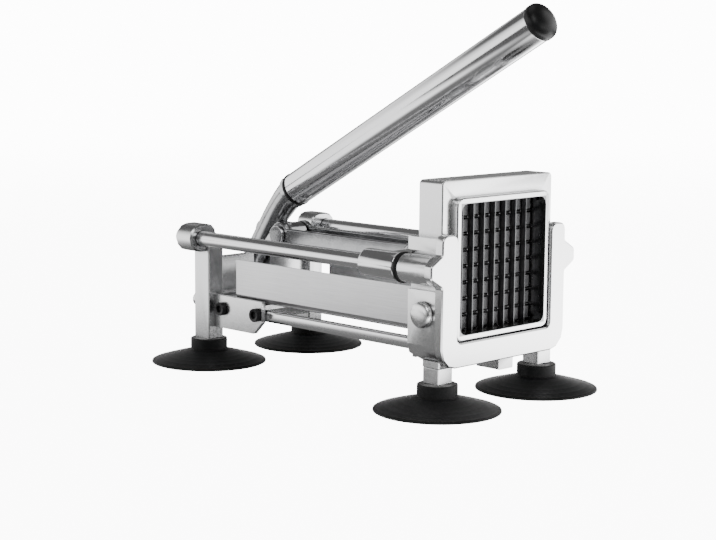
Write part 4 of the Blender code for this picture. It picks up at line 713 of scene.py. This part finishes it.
# Screws: a plain shank and a head whose form is a list of shares of its radius and height
headForms = {
    "dome": (
        (1.0, 0.0), (1.0, 0.35), (0.97, 0.52), (0.90, 0.68), (0.78, 0.82), (0.6, 0.92),
        (0.35, 0.98), (0.0, 1.0),
    ),
    "button": (
        (1.0, 0.0), (1.0, 0.25), (0.96, 0.48), (0.86, 0.70), (0.7, 0.88), (0.5, 1.0),
        (0.46, 0.96), (0.42, 0.62), (0.0, 0.60),
    ),
    "socket": (
        (0.97, 0.0), (1.0, 0.05), (1.0, 0.9), (0.94, 1.0), (0.60, 1.0), (0.54, 0.94),
        (0.54, 0.45), (0.0, 0.40),
    ),
}
screwValues = {
    "lock_screw_": {
        "axis": "X", "shank": 4.0, "head": 7.8, "height": 4.2, "form": "dome",
        "material": "castAluminium",
    },
    "rail_screw_": {
        "axis": "X", "shank": 2.1, "head": 4.3, "height": 3.0, "form": "socket",
        "material": "blackOxide",
    },
    "rod_bolt_": {
        "axis": "Y", "shank": 2.6, "head": 6.8, "height": 4.2, "form": "button",
        "material": "polishedSteel",
    },
    "leg_bolt_": {
        "axis": "Y", "shank": 2.8, "head": 5.0, "height": 5.2, "form": "dome",
        "material": "polishedSteel",
    },
    "pusher_screw_": {
        "axis": "Y", "shank": 2.0, "head": 4.2, "height": 2.6, "form": "button",
        "material": "polishedSteel",
    },
}


def makeScrew(node, values):
    low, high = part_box(node)
    middle = (low + high) / 2
    height, head, shank = (values[key] * millimetre for key in ("height", "head", "shank"))
    if values["axis"] == "X":
        outward = sides["left" if "left" in node else "right"]
        origin, direction = (0, middle.y, middle.z), (outward, 0, 0)
        tip, top = (low.x, high.x) if outward == 1 else (-high.x, -low.x)
    else:
        origin, direction = (middle.x, 0, middle.z), (0, 1, 0)
        tip, top = low.y, high.y
    seat = top - height
    profile = [(0, tip), (shank, tip), (shank, seat)]
    profile += [(head * across, seat + height * up) for across, up in headForms[values["form"]]]
    steps = turnedValues["screwSteps"]
    mesh = turnedMesh(node + "_shape", profile, origin, direction, steps)
    addPiece(mesh, values["material"], node, turnedValues["smoothAngle"])


for prefix, values in screwValues.items():
    for node in frame["nodes"]:
        if node.startswith(prefix):
            makeScrew(node, values)

# Pins, pivot bolt and tray screws keep the solid's form
pinValues = {"material": "polishedSteel", "width": 0.3}
for node in (
    "link_pin_rear", "link_pin_front", "pivot_bolt", "tray_screw_left", "tray_screw_right",
):
    softened(node, **pinValues)
print("screws and pins made")

# Handle: ring, tube and domed cap along one line from the foot, lengths in millimetres
handleValues = {
    "lengths": {
        "radius": 11.0, "wall": 1.5, "tube": 226.0, "tubeRound": 0.3, "ring": 2.2,
        "ringRound": 0.8, "proud": 0.4, "gap": 0.3, "skirt": 2.2, "rimRound": 0.2, "dome": 6.2,
        "plug": 12.0, "plugGap": 0.3,
    },
    "foot": (0.0, 0.069003, 0.1133), "angle": 28.5, "domeSteps": 16, "steps": 128,
}


def makeHandle(values):
    size = metres(values["lengths"])
    angle = math.radians(values["angle"])
    direction = (0, -math.cos(angle), math.sin(angle))
    foot, steps = values["foot"], values["steps"]
    bore = size["radius"] - size["wall"]
    rim = size["radius"] + size["proud"]
    corners = ringCorners(bore, rim, 0, size["ring"], size["ringRound"])
    makeTurned("handle_collar", "blackRubber", corners, foot, direction, steps)
    tubeStart = size["ring"] + size["gap"]
    tubeEnd = tubeStart + size["tube"]
    corners = ringCorners(bore, size["radius"], tubeStart, tubeEnd, size["tubeRound"])
    makeTurned("handle_tube", "polishedSteel", corners, foot, direction, steps)
    plug, plugEnd = bore - size["plugGap"], tubeEnd - size["plug"]
    capStart = tubeEnd + size["gap"]
    shoulder = capStart + size["skirt"]
    profile = [
        (0, plugEnd), (plug, plugEnd), (plug, capStart), (rim - size["rimRound"], capStart),
        (rim, capStart + size["rimRound"]), (rim, shoulder),
    ]
    domeSteps = values["domeSteps"]
    dome = quarterRound(rim, size["dome"], domeSteps, domeSteps - 1)
    profile += [(across, shoulder + up) for across, up in dome]
    profile.append((0, shoulder + size["dome"]))
    mesh = turnedMesh("handle_cap_shape", profile, foot, direction, steps)
    addPiece(mesh, "blackPlastic", "handle_cap", turnedValues["smoothAngle"])


makeHandle(handleValues)
print("handle made")

# Floor, soft lights and surroundings
stageValues = {
    "floorSize": 16.0, "floorDrop": 0.05, "floorColour": (0.93, 0.93, 0.93), "mottling": 0.985,
    "cloudScale": 3.0, "glow": 10.0, "farGlow": 13.0, "glowReach": (0.5, 2.5),
    "left": 2.0, "right": 5.5, "back": 0.25, "front": 0.12, "near": 0.20, "leftNear": (0.20, 0.38),
    "rightNear": (0.14, 0.26), "leftBack": (0.30, 0.60), "rightBack": (0.12, 0.30),
    "sideReach": (-0.05, 0.05), "frontReach": (-0.34, -0.17),
    "key": {"place": (-1.3, -1.5, 1.9), "size": 1.4, "power": 14.0, "aim": (0, 0, 0.1)},
    "fill": {"place": (1.7, -1.0, 1.2), "size": 1.6, "power": 10.0, "aim": (0, 0, 0.1)},
    "top": {"place": (0.0, 0.4, 2.2), "size": 1.8, "power": 5.0, "aim": (0, 0, 0.0)},
}
acrossSides = (0.7071, -0.7071, 0.0)
towardsBack = (0.7071, 0.7071, 0.0)


# The floor is plain and pale to look at. What the polished metal mirrors of it is darker
# near the machine and behind it, as in a studio with dark cards.
def makeFloorMaterial(values):
    material, shader = newMaterial("paleFloor")
    material.cycles.emission_sampling = "NONE"
    place = objectPlace(shader)
    across = along(shader, place, acrossSides)
    depth = along(shader, place, towardsBack)
    length = shader.add("ShaderNodeVectorMath", {0: place}, operation="LENGTH")
    distance = length.outputs["Value"]
    left, right = (
        blendValues(
            shader, smoothStep(shader, depth, values[side + "Back"]),
            smoothStep(shader, distance, values[side + "Near"], values["near"], values[side]),
            values["back"],
        )
        for side in sides
    )
    level = blendValues(shader, smoothStep(shader, across, values["sideReach"]), left, right)
    behindFront = smoothStep(shader, depth, values["frontReach"])
    level = blendValues(shader, behindFront, values["front"], level)
    reach = values["glowReach"]
    glow = smoothStep(shader, distance, reach, values["glow"], values["farGlow"])
    close = smoothStep(shader, distance, reach, 1.0, 0.0)
    seen = shader.add("ShaderNodeLightPath").outputs["Is Camera Ray"]
    shade = tuple(values["mottling"] * channel for channel in values["floorColour"])
    clouds = cloudMask(shader, values["cloudScale"])
    colour = blendColours(shader, clouds, shade, values["floorColour"])
    lit = shader.math("MULTIPLY", seen, close)
    closeMaterial(shader, {
        "Base Color": blendColours(shader, lit, (0.0, 0.0, 0.0), colour),
        "Roughness": 0.9, "Specular IOR Level": 0.0, "Emission Color": (1.0, 1.0, 1.0, 1.0),
        "Emission Strength": blendValues(shader, seen, level, glow),
    })
    return material


def makeStage(values):
    build = bmesh.new()
    bmesh.ops.create_grid(build, x_segments=1, y_segments=1, size=values["floorSize"] / 2)
    floor = addObject("floor", closeMesh(build, "floor"))
    floor.location.z = -values["floorDrop"] * millimetre
    floor.data.materials.append(makeFloorMaterial(values))
    for name in ("key", "fill", "top"):
        lightValues = values[name]
        light = bpy.data.lights.new(name + "_light", "AREA")
        light.shape = "DISK"
        light.size = lightValues["size"]
        light.energy = lightValues["power"]
        lamp = addObject(name + "_light", light)
        lamp.location = lightValues["place"]
        aim = Vector(lightValues["aim"]) - lamp.location
        lamp.rotation_euler = aim.to_track_quat("-Z", "Y").to_euler()


# Brightness of the surroundings by height of the direction, as shares of the strength
worldValues = {
    "strength": 4.0, "seenStrength": 13.0,
    "rightReach": (-0.1, 0.3), "behindReach": (0.80, 0.95), "frontReach": (-0.9, -0.6),
    "left": ((0.0, 0.50), (0.25, 0.48), (0.42, 0.28), (0.50, 0.03), (0.80, 0.03), (1.0, 0.05)),
    "right": ((0.0, 0.6), (0.25, 0.5), (0.40, 0.03), (0.80, 0.03), (1.0, 0.05)),
    "behind": ((0.0, 0.06), (0.7, 0.04), (1.0, 0.05)),
    "front": ((0.0, 0.03), (0.5, 0.05), (1.0, 0.05)),
}


def heightRamp(shader, height, levels):
    ramp = shader.add("ShaderNodeValToRGB", {"Fac": height})
    elements = ramp.color_ramp.elements
    for index, (position, level) in enumerate(levels):
        element = elements[index] if index < 2 else elements.new(position)
        element.position = position
        element.color = (level, level, level, 1)
    return ramp.outputs["Color"]


def makeWorld(values):
    world = bpy.data.worlds.new("studio")
    world.use_nodes = True
    world.node_tree.nodes.clear()
    bpy.context.scene.world = world
    shader = Shader(world.node_tree)
    direction = shader.add("ShaderNodeTexCoord").outputs["Generated"]
    height = shader.add("ShaderNodeSeparateXYZ", {"Vector": direction}).outputs["Z"]
    left, right, behind, front = (
        heightRamp(shader, height, values[key]) for key in ("left", "right", "behind", "front")
    )
    depth = along(shader, direction, towardsBack)
    toRight = smoothStep(shader, along(shader, direction, acrossSides), values["rightReach"])
    toBehind = smoothStep(shader, depth, values["behindReach"])
    fromFront = smoothStep(shader, depth, values["frontReach"])
    surround = blendColours(shader, toRight, left, right)
    surround = blendColours(shader, toBehind, surround, behind)
    surround = blendColours(shader, fromFront, front, surround)
    seen = shader.add("ShaderNodeLightPath").outputs["Is Camera Ray"]
    background = shader.add("ShaderNodeBackground", {
        "Color": blendColours(shader, seen, surround, (1.0, 1.0, 1.0)),
        "Strength": blendValues(shader, seen, values["strength"], values["seenStrength"]),
    })
    shader.add("ShaderNodeOutputWorld", {"Surface": background.outputs["Background"]})


makeStage(stageValues)
makeWorld(worldValues)
print("floor and light set")
